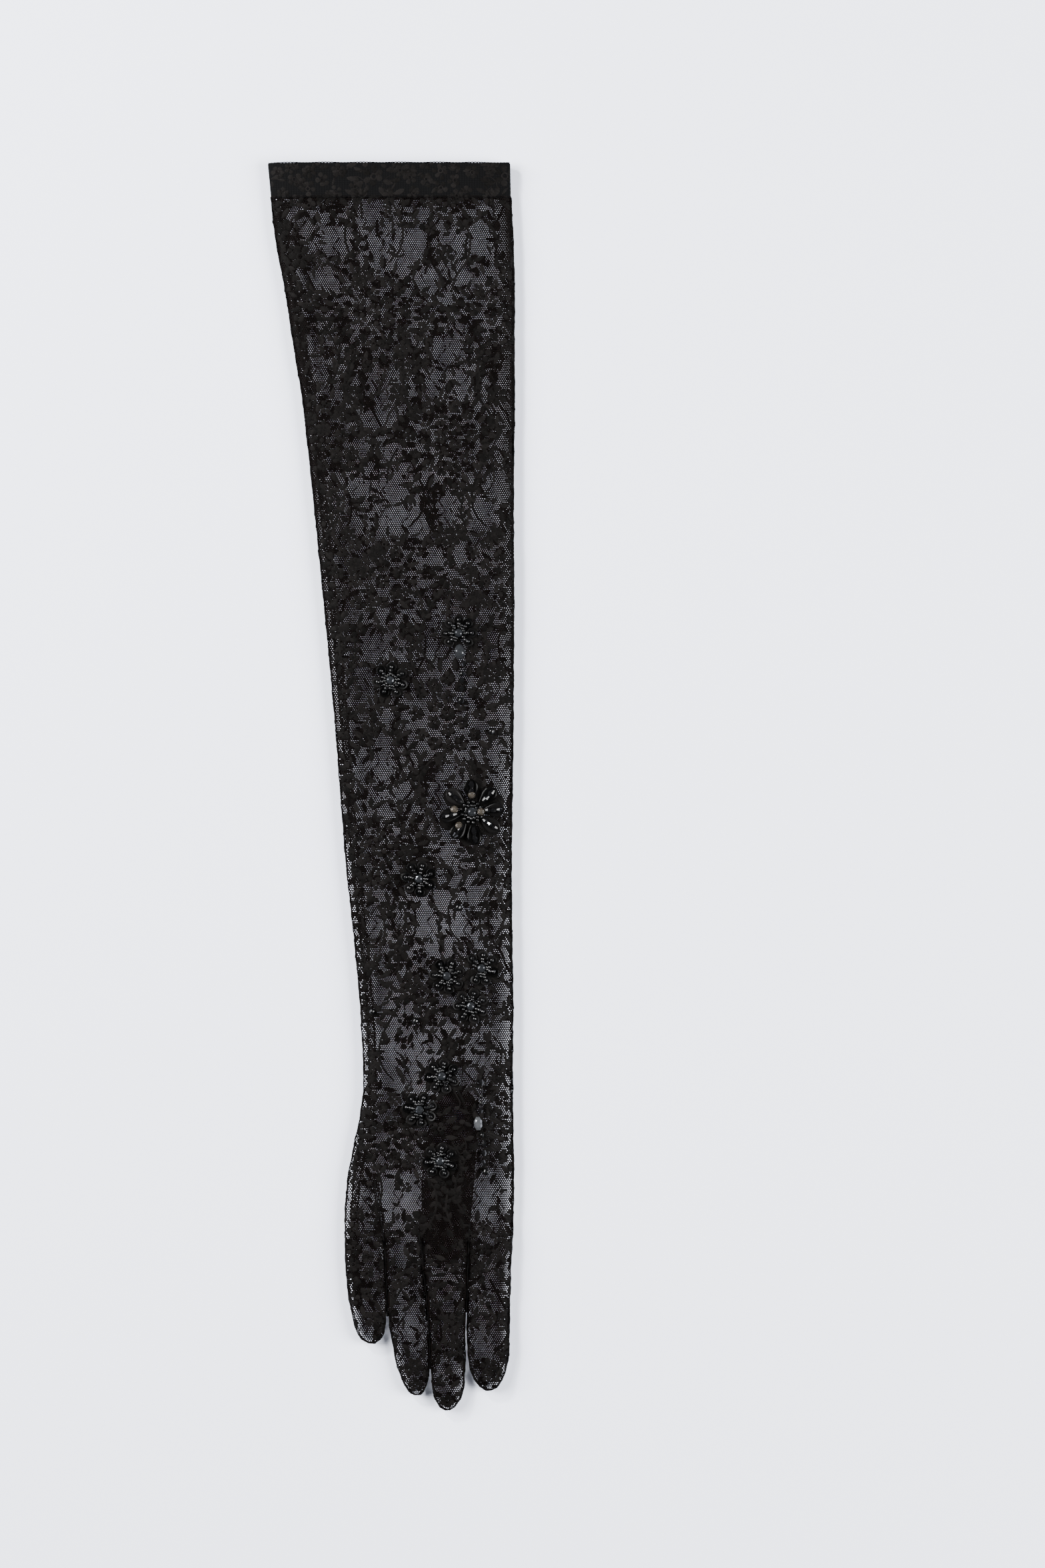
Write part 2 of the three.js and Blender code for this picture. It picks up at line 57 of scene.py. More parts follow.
RING = (
    (-232, -3.2, 16.2), (-250, -2.4, 16.5), (-267, -1.6, 18.4), (-281, -0.6, 19.4), (-298, 2.4, 19.9),
    (-306, 5.0, 19.5), (-311, 7.0, 18.4), (-314, 9.2, 16.9), (-315.8, 12.2, 14.9),
)
MIDDLE = (
    (-232, 16.8, 40.0), (-250, 17.3, 39.4), (-267, 19.3, 38.7), (-281, 20.3, 38.4), (-298, 20.8, 38.5),
    (-312, 21.4, 37.9), (-318, 22.9, 36.0), (-322, 25.3, 33.2), (-323.8, 28.0, 30.4),
)
INDEX = (
    (-232, 40.8, 63.1), (-250, 40.3, 62.2), (-267, 39.7, 61.7), (-281, 39.5, 61.5), (-294, 39.9, 61.3),
    (-303, 41.3, 59.7), (-308, 43.2, 57.9), (-311.5, 46.0, 55.3), (-313.4, 49.2, 52.2),
)
CUFF_END, KNUCKLES = 323.7, -234.0
TUBES = {"sleeve": SLEEVE, "little": LITTLE, "ring": RING, "middle": MIDDLE, "index": INDEX}


def edges(tube, y):
    rows = np.array(TUBES[tube])[::-1]
    return np.interp(y, rows[:, 0], rows[:, 1]), np.interp(y, rows[:, 0], rows[:, 2])


def within(x, y, margin=0.0):
    found = np.zeros(np.shape(x), bool)
    for tube, rows in TUBES.items():
        left, right = edges(tube, y)
        low, high = (KNUCKLES, CUFF_END) if tube == "sleeve" else (rows[-1][0], KNUCKLES)
        found |= (y >= low) & (y < high) & (x > left + margin) & (x < right - margin)
    return found


def tree_of(*nodes):
    points, faces = [], []
    for node in nodes:
        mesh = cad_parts[node].data
        faces += [[len(points) + i for i in polygon.vertices] for polygon in mesh.polygons]
        points += [vertex.co / MM for vertex in mesh.vertices]
    return BVHTree.FromPolygons(points, faces)


class Surface:
    """Heights of the cloth's top and underside over the table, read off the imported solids."""

    STEP, FAR, BESIDE = 0.75, 60, 5.0

    def __init__(self, x, y, *nodes):
        tree = tree_of(*nodes)
        self.x, self.y = np.arange(x[0], x[1], self.STEP), np.arange(y[0], y[1], self.STEP)
        self.maps = []
        for start, way in ((self.FAR, -1), (-self.FAR, 1)):
            cells = np.full((len(self.y), len(self.x)), np.nan)
            for j, v in enumerate(self.y):
                for i, u in enumerate(self.x):
                    hit = tree.ray_cast(Vector((u, v, start)), Vector((0, 0, way)))[0]
                    if hit is not None:
                        cells[j, i] = hit.z
            for _ in range(5):
                padded = np.pad(cells, 1, constant_values=np.nan)
                around = np.stack([padded[1:-1, :-2], padded[1:-1, 2:],
                                   padded[:-2, 1:-1], padded[2:, 1:-1]])
                known = ~np.isnan(around)
                mean = np.where(known, around, 0).sum(0) / np.maximum(known.sum(0), 1)
                cells = np.where(np.isnan(cells) & known.any(0), mean, cells)
            self.maps.append(np.nan_to_num(cells, nan=self.BESIDE))

    def height(self, x, y, side):
        cells = self.maps[side]
        i = np.clip((np.asarray(x) - self.x[0]) / self.STEP, 0, len(self.x) - 1.001)
        j = np.clip((np.asarray(y) - self.y[0]) / self.STEP, 0, len(self.y) - 1.001)
        a, b = i.astype(int), j.astype(int)
        i, j = i - a, j - b
        return ((cells[b, a] * (1 - i) + cells[b, a + 1] * i) * (1 - j)
                + (cells[b + 1, a] * (1 - i) + cells[b + 1, a + 1] * i) * j)

    def middle(self, x, y):
        return (self.height(x, y, TOP) + self.height(x, y, UNDER)) / 2


TOP, UNDER = 0, 1
cloth = Surface((-66, 67), (-325, 326), "lace_shell", "hem_band")


class Socket:
    """One socket of a finish. Sums on it add the Math nodes that they need."""

    def __init__(self, finish, link):
        self.finish, self.link = finish, link

    def sum(self, operation, first, second):
        return self.finish.node("Math", {"operation": operation}, {0: first, 1: second})

    def __add__(self, other):
        return self.sum("ADD", self, other)

    def __radd__(self, other):
        return self.sum("ADD", other, self)

    def __sub__(self, other):
        return self.sum("SUBTRACT", self, other)

    def __mul__(self, other):
        return self.sum("MULTIPLY", self, other)


class Finish:
    """A Principled material that is built from the sockets up."""

    def __init__(self, name, **values):
        self.material = bpy.data.materials.new(name)
        self.material.use_nodes = True
        self.nodes = self.material.node_tree.nodes
        self.shader = self.nodes["Principled BSDF"]
        for socket, value in values.items():
            self.set(socket.replace("_", " "), value)

    def set(self, socket, value):
        target = self.shader.inputs[socket]
        if isinstance(value, Socket):
            self.material.node_tree.links.new(value.link, target)
        elif isinstance(value, tuple):
            target.default_value = (*value, 1.0)
        else:
            target.default_value = value

    def node(self, kind, settings, inputs, output=0):
        made = self.nodes.new("ShaderNode" + kind)
        for name, value in settings.items():
            setattr(made, name, value)
        for key, value in inputs.items():
            if isinstance(value, Socket):
                self.material.node_tree.links.new(value.link, made.inputs[key])
            else:
                made.inputs[key].default_value = value
        return Socket(self, made.outputs[output])

    def place(self):
        return self.node("TexCoord", {}, {}, "Object")

    def tone(self):
        return self.node("Attribute", {"attribute_name": "tone"}, {}, "Fac")

    def noise(self, size_mm, detail=2.0):
        inputs = {"Vector": self.place(), "Scale": 1 / (size_mm * MM), "Detail": detail}
        return self.node("TexNoise", {}, inputs, "Fac")

    def bands(self, direction, size_mm, **inputs):
        settings = {"wave_type": "BANDS", "bands_direction": direction}
        inputs |= {"Vector": self.place(), "Scale": 1 / (size_mm * MM)}
        return self.node("TexWave", settings, inputs, "Fac")

    def bump(self, height, strength, distance_mm):
        inputs = {"Height": height, "Strength": strength, "Distance": distance_mm * MM}
        self.set("Normal", self.node("Bump", {}, inputs, "Normal"))

    def mix(self, share, first, second):
        return self.node("Mix", {"data_type": "RGBA"}, {0: share, 6: (*first, 1), 7: (*second, 1)}, 2)


def thread_finish(name, dark, light, size_mm=0.9):
    finish = Finish(name, Roughness=0.62, Specular_IOR_Level=0.02)
    tone = finish.tone()
    cloudy = finish.noise(size_mm, 3.0)
    finish.set("Base Color", finish.mix((cloudy - 0.35) * 0.9 + tone * 0.8, dark, light))
    rib = finish.bands("DIAGONAL", 2.4, Distortion=2.0, Detail=1.0)
    finish.set("Roughness", 0.5 + rib * 0.22)
    finish.bump(rib * 0.6 + cloudy * 0.4, 0.5, 0.12)
    return finish.material


class Piece:
    """Points and faces of one piece, gathered in millimetres and made into one object."""

    def __init__(self):
        self.points, self.faces, self.tones, self.kinds, self.count = [], [], [], [], 0

    def add(self, points, faces, tone=0.0, kind=0):
        points = np.asarray(points, float).reshape(-1, 3)
        faces = np.asarray(faces, int)
        self.points.append(points)
        self.faces.append(faces + self.count)
        self.tones.append(np.broadcast_to(np.asarray(tone, float), (len(points),)))
        self.kinds.append(np.full(len(faces), kind))
        self.count += len(points)

    def make(self, name, materials, slot, nodes, smooth=()):
        mesh = bpy.data.meshes.new(name)
        faces = [face for block in self.faces for face in block.tolist()]
        mesh.from_pydata((np.concatenate(self.points) * MM).tolist(), [], faces)
        tone = mesh.attributes.new("tone", "FLOAT", "POINT")
        tone.data.foreach_set("value", np.concatenate(self.tones).astype(np.float32))
        for material in materials:
            mesh.materials.append(material)
        kinds = np.concatenate(self.kinds)
        mesh.polygons.foreach_set("material_index", kinds.astype(np.int32))
        mesh.polygons.foreach_set("use_smooth", np.isin(kinds, smooth))
        mesh.validate()
        piece = bpy.data.objects.new(name, mesh)
        bpy.context.scene.collection.objects.link(piece)
        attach(piece, "root")
        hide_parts(*nodes)


def grid_faces(rows, columns, wrap=False):
    i, k = np.meshgrid(np.arange(rows - 1), np.arange(columns if wrap else columns - 1), indexing="ij")
    here, above, beside = i * columns, (i + 1) * columns, (k + 1) % columns
    return np.stack([here + k, here + beside, above + beside, above + k], -1).reshape(-1, 4)


def thread(piece, line, radius, tone=0.0, sides=5, kind=0):
    """A round thread along a line of points."""
    line = np.asarray(line, float)
    way = np.gradient(line, axis=0)
    way /= np.maximum(np.linalg.norm(way, axis=1), 1e-9)[:, None]
    side = np.cross(way, (0.02, 0.01, 1.0))
    side /= np.maximum(np.linalg.norm(side, axis=1), 1e-9)[:, None]
    up = np.cross(side, way)
    angle = (2 * np.pi * np.arange(sides) / sides)[None, :, None]
    rings = line[:, None] + radius * (side[:, None] * np.cos(angle) + up[:, None] * np.sin(angle))
    piece.add(rings, grid_faces(len(line), sides, wrap=True), tone, kind)


# Floral pattern. Each shape is a strip of satin-filled threads along a centre line, with a raised
# rib: petals, pointed leaves, buds, stems and vines. The net is left out under them, as the
# pattern is knitted in one with it.
FOLD = 63.6


def turned(points, x, y, turn):
    c, s = math.cos(turn), math.sin(turn)
    points = np.asarray(points, float)
    return np.stack([x + points[:, 0] * c - points[:, 1] * s, y + points[:, 0] * s + points[:, 1] * c], 1)


def headings(line):
    """Unit directions along a flat line."""
    way = np.gradient(line, axis=0)
    return way / np.maximum(np.hypot(way[:, 0], way[:, 1]), 1e-6)[:, None]


def leftward(way):
    return np.column_stack([-way[:, 1], way[:, 0]])


# A shape is its centre line, its half width along it, the height of its rib and its tone
def leaf(x, y, turn, length, width, bend, tone=0.25):
    along = np.array((0, 0.14, 0.38, 0.62, 0.85, 1.0))
    centre = np.stack([along * length, bend * length * along ** 2], 1)
    half = np.array((0.1, 0.62, 1.0, 0.86, 0.42, 0.05)) * width / 2
    return turned(centre, x, y, turn), half, 0.32, tone


def petal(x, y, turn, length, width, tone):
    along = np.array((0.3, 0.48, 0.7, 0.9, 1.0))
    centre = np.stack([along * length, 0 * along], 1)
    half = np.array((0.3, 0.72, 1.0, 0.74, 0.25)) * width / 2
    return turned(centre, x, y, turn), half, 0.3, tone


def flower(x, y, radius, petals, turn, tone=0.25):
    shapes = [petal(x, y, turn + 2 * math.pi * k / petals, radius, 3.7 * radius / petals,
                    tone + 0.12 * math.sin(3.1 * k)) for k in range(petals)]
    around = np.linspace(0, 2 * math.pi, 9) + turn
    ring = np.stack([x + 0.29 * radius * np.cos(around), y + 0.29 * radius * np.sin(around)], 1)
    return shapes + [(ring, np.full(9, 0.1 * radius), 0.5, tone + 0.1)]


def curve_through(points, count):
    points = np.array(points, float)
    share = np.linspace(0, len(points) - 1, count)
    i = np.minimum(share.astype(int), len(points) - 2)
    t = (share - i)[:, None]
    before, after = points[np.maximum(i - 1, 0)], points[np.minimum(i + 2, len(points) - 1)]
    a, b = points[i], points[i + 1]
    return 0.5 * (2 * a + (b - before) * t + (2 * before - 5 * a + 4 * b - after) * t ** 2
                  + (3 * a - before - 3 * b + after) * t ** 3)


def stem(points, width, count):
    line = curve_through(points, count)
    taper = 0.6 + 0.4 * np.sin(np.linspace(0.25, math.pi - 0.25, count))
    return line, taper * width / 2, 0.22, 0.15


def garland(points, leaves, length, width):
    line = curve_through(points, leaves + 2)
    shapes = [stem(points, 1.15, 3 * leaves)]
    for k in range(1, leaves + 1):
        way = math.atan2(*(line[k + 1] - line[k - 1])[::-1])
        spread, shade = 0.75 + 0.12 * math.sin(5 * k), 0.2 + 0.1 * math.sin(4 * k)
        long = length * (1.05 - 0.25 * k / leaves)
        for side in (-1, 1):
            shapes.append(leaf(*line[k], way + side * spread, long, width, -0.12 * side, shade))
    return shapes


def mirrored(side, x, y, degrees):
    return side * x, y, math.radians(degrees if side > 0 else 180 - degrees)


# One repeat of the pattern, its right half. Outer flowers: angle, distance and radius
OUTER_FLOWERS = (
    (0, 16.5, 3.6), (38, 17.5, 3.3), (64, 16.5, 3.5), (90, 18.5, 3.8), (-38, 17.5, 3.4), (-66, 17.0, 3.5),
    (-90, 17.5, 3.7),
)
# Leaves: x, y, angle, length and width
LEAVES = (
    (12, 0, 5, 4.4, 2.0), (11, 9, 42, 4.5, 2.1), (4, 12, 75, 4.6, 2.1), (11, -9, -40, 4.6, 2.1),
    (4, -12, -75, 4.5, 2.1), (20, 3, 12, 6.2, 2.7), (20, -4, -14, 6.4, 2.7), (18.5, 7, 34, 6.4, 2.6),
    (19, -9, -32, 6.6, 2.7), (15.5, 14, 52, 6.6, 2.6), (16, -14, -50, 6.8, 2.7), (10.5, 19, 66, 6.4, 2.6),
    (11, -19, -64, 6.6, 2.6), (4, 22, 82, 6.6, 2.7), (4, -21, -80, 6.8, 2.6), (24, 0, 0, 4.6, 2.2),
    (3.5, 75, 62, 6.2, 2.8), (1.2, 76, 84, 6.4, 2.4), (5, 67, -25, 5.6, 2.6), (3, 64.5, -68, 5.4, 2.5),
    (6, 72, 20, 5.0, 2.4),
)
# Garlands: points of the stem, pairs of leaves, their length and width
GARLANDS = (
    (((7, 24), (13.5, 32), (14.5, 43), (9.5, 55), (5, 63)), 7, 4.8, 2.4),
    (((8, -23), (14.5, -32), (14, -44), (8, -54), (5, -62)), 7, 4.6, 2.3),
    (((17, 20), (20, 30), (19, 40)), 4, 4.0, 2.0),
    (((23, -6), (27, -14), (28, -24)), 3, 4.0, 2.0),
)
# Vines: points, width, and how many points the smooth line gets
VINES = (
    (((2.5, 27), (6.5, 31), (4, 36), (8, 41), (4.5, 46), (6, 52)), 0.5, 22),
    (((3, -27), (7.5, -33), (4.5, -38), (8, -43), (4, -50)), 0.5, 22),
    (((24, 8), (27, 13), (24.5, 19), (28, 24), (25, 30)), 0.5, 20),
    (((25, -2), (29, -5), (30, -11), (27, -13), (25, -10), (27, -8)), 0.55, 20),
)
# Buds: x, y, angle and length
BUDS = (
    (27.5, 3, 20, 3.4), (9, 58, 30, 3.0), (17.5, -28, -30, 3.2), (23, 24, 75, 3.2), (9.5, -60, -40, 3.0),
)


def bouquet():
    """One repeat of the pattern: a large rosette of flowers, with garlands, vines and buds."""
    shapes = flower(0, 0, 4.0, 6, 0.3) + flower(0, 70, 5.4, 6, 0.5, 0.1)
    for k in range(6):
        way = math.radians(30 + 60 * k)
        shapes += flower(8.3 * math.cos(way), 8.6 * math.sin(way), 3.7, 5, way)
    for k, (degrees, reach, radius) in enumerate(OUTER_FLOWERS):
        for side in (1, -1) if abs(degrees) < 89 else (1,):
            across, up = reach * math.cos(math.radians(degrees)), reach * math.sin(math.radians(degrees))
            x, y, way = mirrored(side, across, up, degrees)
            shapes += flower(x, y, radius, 5, way + 0.3 * k, 0.15 + 0.05 * (k % 4))
    for side in (1, -1):
        for x, y, degrees, length, width in LEAVES:
            shapes.append(leaf(*mirrored(side, x, y, degrees), length, width, 0.16 * side))
        for points, leaves, length, width in GARLANDS:
            shapes += garland([(side * x, y) for x, y in points], leaves, length, width)
        shapes += flower(side * 21.5, 43, 4.5, 5, 0.7 * side, 0.1)
        for points, width, count in VINES:
            shapes.append(stem([(side * x, y) for x, y in points], width, count))
        for x, y, degrees, length in BUDS:
            shapes.append(leaf(*mirrored(side, x, y, degrees), length, 2.3, 0, 0.4))
    return shapes


# How far across and up the cloth each row of bouquets starts, and how far apart they are
ROWS = (
    (5, 391), (38, 319), (4.5, 247), (37.5, 182), (7, 111), (34, 38), (2, -33), (19, -106), (-13, -177),
    (15, -248), (-17, -319),
)
REPEAT = 68.0
# Open net between the bouquets, where only vines run: middle, half width and half height
OPEN = (
    (-28, 284, 9, 9), (-10, 297, 8, 8), (10, 281, 9, 9.5), (46, 284, 7, 10), (56, 300, 5, 4),
    (-45, 290, 4, 7), (27, 293, 3.5, 6), (-34, 263, 7, 7), (19, 264, 6, 8), (37, 266, 6, 7),
    (29, 256, 5, 6), (29, 228, 9, 8), (35, 240, 3, 6), (-37, 216, 6, 6), (-41, 230, 4, 6),
    (-8, 213, 3.5, 9), (22, 211, 5, 10), (37, 211, 5, 10), (-8, 192, 10, 6.5), (-15, 175, 5, 6.5),
    (0, 175, 6, 6), (60, 192, 4, 8), (57, 176, 4, 7), (-17, 156, 6, 7), (0, 154, 9, 8), (55, 156, 8, 8),
    (8, 167, 4, 3), (-18, 137, 5, 8), (4, 137, 5, 9), (14, 137, 6, 8), (48, 139, 8, 9), (24, 119, 5, 6),
    (36, 121, 5, 7), (30, 110, 8, 2.5), (-8, 73, 8, 9), (22, 72, 7, 7), (18, 60, 3, 7), (55, 77, 5, 5),
    (-2, 35, 5, 5), (-14, 36, 4, 4), (-15, 11, 5, 9), (-4, 10, 8, 9), (6, -2, 6, 6), (60, 37, 4, 8),
    (55, 15, 6, 8), (29, 7, 4, 5), (12, 14, 3, 4), (-2, -13, 5, 5), (22, -22, 4, 5), (35, -44, 4, 6),
    (27, -46, 4, 5), (26, -58, 6, 5), (-9, -70, 5, 10), (18, -70, 7, 9), (35, -72, 6, 8),
    (-10, -87, 3, 4), (38, -84, 3, 5), (59, -85, 4, 6), (61, -96, 3, 7), (-6, -107, 5, 6),
    (1, -113, 4, 4), (57, -108, 5, 7), (-9, -130, 5, 8), (0, -124, 4, 6), (58, -128, 6, 9),
    (0, -144, 6, 8), (1, -153, 5, 6), (12, -146, 4, 7), (22, -135, 4, 3), (42, -148, 4, 5),
    (40, -162, 5, 6), (55, -140, 6, 4), (47, -136, 4, 3), (-2, -214, 5, 12), (58, -205, 5, 4),
    (60, -215, 4, 8), (55, -225, 5, 6), (57, -240, 4, 3), (-1, -235, 4, 4), (5, -247, 4, 5),
    (53, -247, 5, 3), (54, -258, 6, 5), (56, -268, 5, 5), (48, -277, 5, 3), (55, -286, 5, 7),
    (26, -285, 3, 6), (5, -266, 4, 5), (9, -284, 4, 7),
)
# Single flowers on the top layer, the last eleven under the bead flowers: middle and radius
SINGLE = (
    (-47, 275, 6.2), (28, 276, 5.4), (-15, 266, 5), (-19.5, 203, 5.4), (4, 203, 5.6), (12, 194, 4.6),
    (-25, 194, 5), (55, 203, 5.6), (27, 130, 5.6), (34.5, 131, 5.6), (-22, 131, 4.4), (54, 131, 4.6),
    (54, 59, 6), (4, -85, 6), (13, -226, 6.4), (12, -301, 5.2), (51, -301, 4.8), (-7, 121, 5),
    (-17, 112, 5), (45, 97, 5), (-10, 29, 4.6), (8, -34, 4.6), (46, -250, 3.6), (35.1, 79.8, 9.8),
    (-0.2, 55.3, 9.8), (14.5, -47.6, 9.8), (29.1, -98, 9.8), (46.9, -94, 9.8), (41.4, -113.6, 9.8),
    (26.7, -150.1, 9.8), (15.2, -167.4, 9.8), (25.6, -193.7, 9.8), (42, -13, 10), (42, -13, 17.5),
)


def in_open(x, y, grown=1.0):
    return any(((x - a) / (grown * c)) ** 2 + ((y - b) / (grown * d)) ** 2 < 1 for a, b, c, d in OPEN)


def lace_shapes(side):
    """Every shape on one layer, in the glove's own millimetres."""
    pattern, shapes = bouquet(), []
    for start, up in ROWS:
        for k in range(-3, 4):
            across = start + REPEAT * k
            for line, half, rise, tone in pattern:
                line = line + chance.normal(0, 0.35, 2) + (across, up)
                line[:, 0] = FOLD - line[:, 0] if side == TOP else FOLD + line[:, 0]
                x, y = line.mean(0)
                vine = half.max() < 0.35
                clear = 1.1 if side == TOP or y > 60 else 1.4
                if -70 < x < 70 and (vine or not in_open(x, y, clear) and x > edges("sleeve", y)[0] + 1.2):
                    grown = 1 if vine else chance.uniform(0.88, 1.14)
                    shapes.append((line, half * grown, rise, tone + chance.uniform(-0.35, 0.4)))
    for x, y, wide, high in OPEN:
        turn = chance.uniform(-0.3, 0.3)
        for way in np.arange(0, 2 * math.pi, 3.4 / math.sqrt(wide * high)) + turn:
            if chance.uniform() < (0.5 if side == TOP else 0.3):
                reach = chance.uniform(1.08, 1.3)
                u, v = x + reach * wide * math.cos(way), y + reach * high * math.sin(way)
                if not in_open(u, v):
                    along = math.atan2(high * math.cos(way), -wide * math.sin(way))
                    along += chance.uniform(-0.2, 1.1)
                    long, broad = chance.uniform(4.0, 6.8), chance.uniform(1.6, 2.6)
                    shapes.append(leaf(u, v, along, long, broad, 0.16, chance.uniform(0.05, 0.4)))
    if side == TOP:
        for x, y, radius in SINGLE:
            shapes += flower(x, y, radius, 6, chance.uniform(0, 1), 0.1)
    for _ in range(380):
        x, y = chance.uniform(-64, 64), 322 - 644 * chance.uniform() ** 1.35
        if not in_open(x, y, 1.12 if side == TOP or y > 60 else 1.4):
            if chance.uniform() < 0.3:
                radius, turn = chance.uniform(2.8, 3.8), chance.uniform(0, 1)
                shapes += flower(x, y, radius, 5, turn, chance.uniform(0.1, 0.4))
            else:
                turn, long = chance.uniform(0, 6.28), chance.uniform(3.0, 5.2)
                broad, bend = chance.uniform(1.2, 2.0), chance.uniform(-0.2, 0.2)
                shapes.append(leaf(x, y, turn, long, broad, bend, chance.uniform(0.1, 0.4)))
    return shapes


def on_layer(shape):
    """A shape's left, rib and right lines, cut off at the fold and the edges."""
    line, half, rise, tone = shape
    across = leftward(headings(line)) * half[:, None]
    lines = [line + across, line, line - across]
    middle = line.mean(0)
    for tube, rows in TUBES.items():
        low, high = (KNUCKLES, CUFF_END - 0.1) if tube == "sleeve" else (rows[-1][0], KNUCKLES)
        left, right = edges(tube, middle[1])
        if low <= middle[1] < high and left - 1 < middle[0] < right + 1:
            for points in lines:
                points[:, 1] = np.clip(points[:, 1], low + 0.1, high)
                near, far = edges(tube, points[:, 1])
                points[:, 0] = np.clip(points[:, 0], near + 0.25, far - 0.25)
            return lines, rise, tone
    return None


class Mask:
    """Which spots of a layer are filled by the pattern."""

    STEP, LEFT, LOW = 0.3, -67, -326
    COLUMNS, ROWS = 460, 2200

    def __init__(self):
        self.cells = np.zeros((self.ROWS, self.COLUMNS), bool)

    def fill(self, outline):
        low = np.floor((outline.min(0) - (self.LEFT, self.LOW)) / self.STEP).astype(int)
        high = np.ceil((outline.max(0) - (self.LEFT, self.LOW)) / self.STEP).astype(int) + 1
        x = (np.arange(low[0], high[0]) + 0.5) * self.STEP + self.LEFT
        y = (np.arange(low[1], high[1]) + 0.5) * self.STEP + self.LOW
        x, y = np.meshgrid(x, y)
        inside = np.zeros(x.shape, bool)
        for (ax, ay), (bx, by) in zip(outline, np.roll(outline, -1, axis=0)):
            if ay != by:
                inside ^= ((ay > y) != (by > y)) & (x < (bx - ax) * (y - ay) / (by - ay) + ax)
        self.cells[low[1]:high[1], low[0]:high[0]] |= inside

    def at(self, x, y):
        i = np.clip(((x - self.LEFT) / self.STEP).astype(int), 0, self.COLUMNS - 1)
        j = np.clip(((y - self.LOW) / self.STEP).astype(int), 0, self.ROWS - 1)
        return self.cells[j, i]


satin = thread_finish("black satin thread filling", (0.0014, 0.0013, 0.0012), (0.0064, 0.0057, 0.0055))
HEM_LINE = 307.0
masks = []
for side, name in ((TOP, "pattern_top"), (UNDER, "pattern_under")):
    piece, mask = Piece(), Mask()
    for shape in lace_shapes(side):
        placed = on_layer(shape)
        if placed is None:
            continue
        (left, rib, right), rise, tone = placed
        if rib[:, 1].mean() > HEM_LINE:
            tone = tone + 0.2
        mask.fill(np.concatenate([left, right[::-1]]))
        out, clear = (1, 0) if side == TOP else (-1, 0.45)
        rows = []
        for line, lift in ((left, 0.06), (rib, rise), (right, 0.06)):
            rows.append(np.column_stack([line, cloth.height(*line.T, side) + out * lift + clear]))
        n = len(rib)
        k = np.arange(n - 1)
        strip = np.stack([k, k + 1, k + 1 + n, k + n], 1)
        faces = np.concatenate([strip, strip + n])
        if side == TOP:
            faces = faces[:, ::-1]
        piece.add(np.concatenate(rows), faces, tone)
    masks.append(mask)
    piece.make(name, [satin], "lace", ["lace_shell"], smooth=[0])

# Net. Fine hexagonal mesh of twisted thread, about 1.1 mm from hole to hole, between and round
# the pattern's shapes. Both layers are pulled out of square a little, one almost over the other.
# The thread looks finer towards the hand. Towards the fold and the seam the strands are drawn wider,
# closing up the mesh: painted shade that darkens the table seen through those edges.
PITCH = 1.1


def net(piece, surface, side, y_range, turn, mask=None, lift=0.0, strand=0.4, keep=within, wave=0.0,
        stretch=1.0):
    radius = PITCH / math.sqrt(3)
    i, j = np.meshgrid(np.arange(-105, 106), np.arange(-380, 381))
    x = (i + 0.5 * (j % 2)) * PITCH
    y = j * 1.5 * radius
    right, low_right = (0.5 * PITCH, 0.5 * radius), (0.5 * PITCH, -0.5 * radius)
    top, left = (0, radius), (-0.5 * PITCH, 0.5 * radius)
    strands = []
    for start, end in ((low_right, right), (top, right), (top, left)):
        strands.append(np.stack([x + start[0], y + start[1], x + end[0], y + end[1]], -1).reshape(-1, 4))
    strands = np.concatenate(strands)
    for k in (0, 2):
        u, v = strands[:, k].copy(), strands[:, k + 1].copy()
        strands[:, k] = u + turn * v + 0.5 * np.sin(v / 23 + wave) + 0.25 * np.sin(v / 7.3 + u / 11 + wave)
        strands[:, k + 1] = v - turn * u + 0.45 * np.sin(u / 17 + wave) + 0.25 * np.sin(u / 6.1 - v / 13)
    if stretch > 1:
        strands = strands * stretch + (0, 0.25, 0, 0.25)
    x, y = (strands[:, 0] + strands[:, 2]) / 2, (strands[:, 1] + strands[:, 3]) / 2
    shown = (y > y_range[0]) & (y <= y_range[1])
    for k in (0, 2):
        shown &= keep(strands[:, k], strands[:, k + 1])
    if mask:
        ends_hidden = mask.at(strands[:, 0], strands[:, 1]) & mask.at(strands[:, 2], strands[:, 3])
        shown &= ~(ends_hidden & mask.at(x, y))
    strands = strands[shown]
    start, end = strands[:, :2], strands[:, 2:]
    way = end - start
    way /= np.hypot(way[:, 0], way[:, 1])[:, None]
    middle = (strands[:, 0] + strands[:, 2]) / 2
    near, far = edges("sleeve", strands[:, 1])
    wide = strand - 0.05 * np.clip((30 - strands[:, 1]) / 60, 0, 1)
    # Painted shade: near the fold and the seam the strands widen and close up the mesh, darkening those
    # edges.
    closed = np.clip(0.65 - (middle - near) / 12, 0, 0.65) + np.clip(0.55 - (far - middle) / 20, 0, 0.55)
    wide = (wide * (1 + closed))[:, None]
    across = leftward(way) * wide / 2
    reach = way * wide * 0.28
    corners = np.stack([start - reach - across, end + reach - across,
                        end + reach + across, start - reach + across], 1).reshape(-1, 2)
    z = surface.height(corners[:, 0], corners[:, 1], side) + lift
    count = len(strands)
    piece.add(np.column_stack([corners, z]), np.arange(4 * count).reshape(-1, 4), 0.0)


net_thread = thread_finish("black net thread", (0.0019, 0.0014, 0.0013), (0.0068, 0.005, 0.0045), 2.0)
for side, name, stretch, lift in ((TOP, "net_top", 1.0, 0.05), (UNDER, "net_under", 1.0022, 0.3)):
    for part, y_range, strand in (("arm", (70, 306.5), 0.41), ("hand", (-330, 70), 0.38)):
        piece = Piece()
        net(piece, cloth, side, y_range, 0.012, masks[side], lift, strand, stretch=stretch)
        piece.make(f"{name}_{part}", [net_thread], "lace", ["lace_shell"])

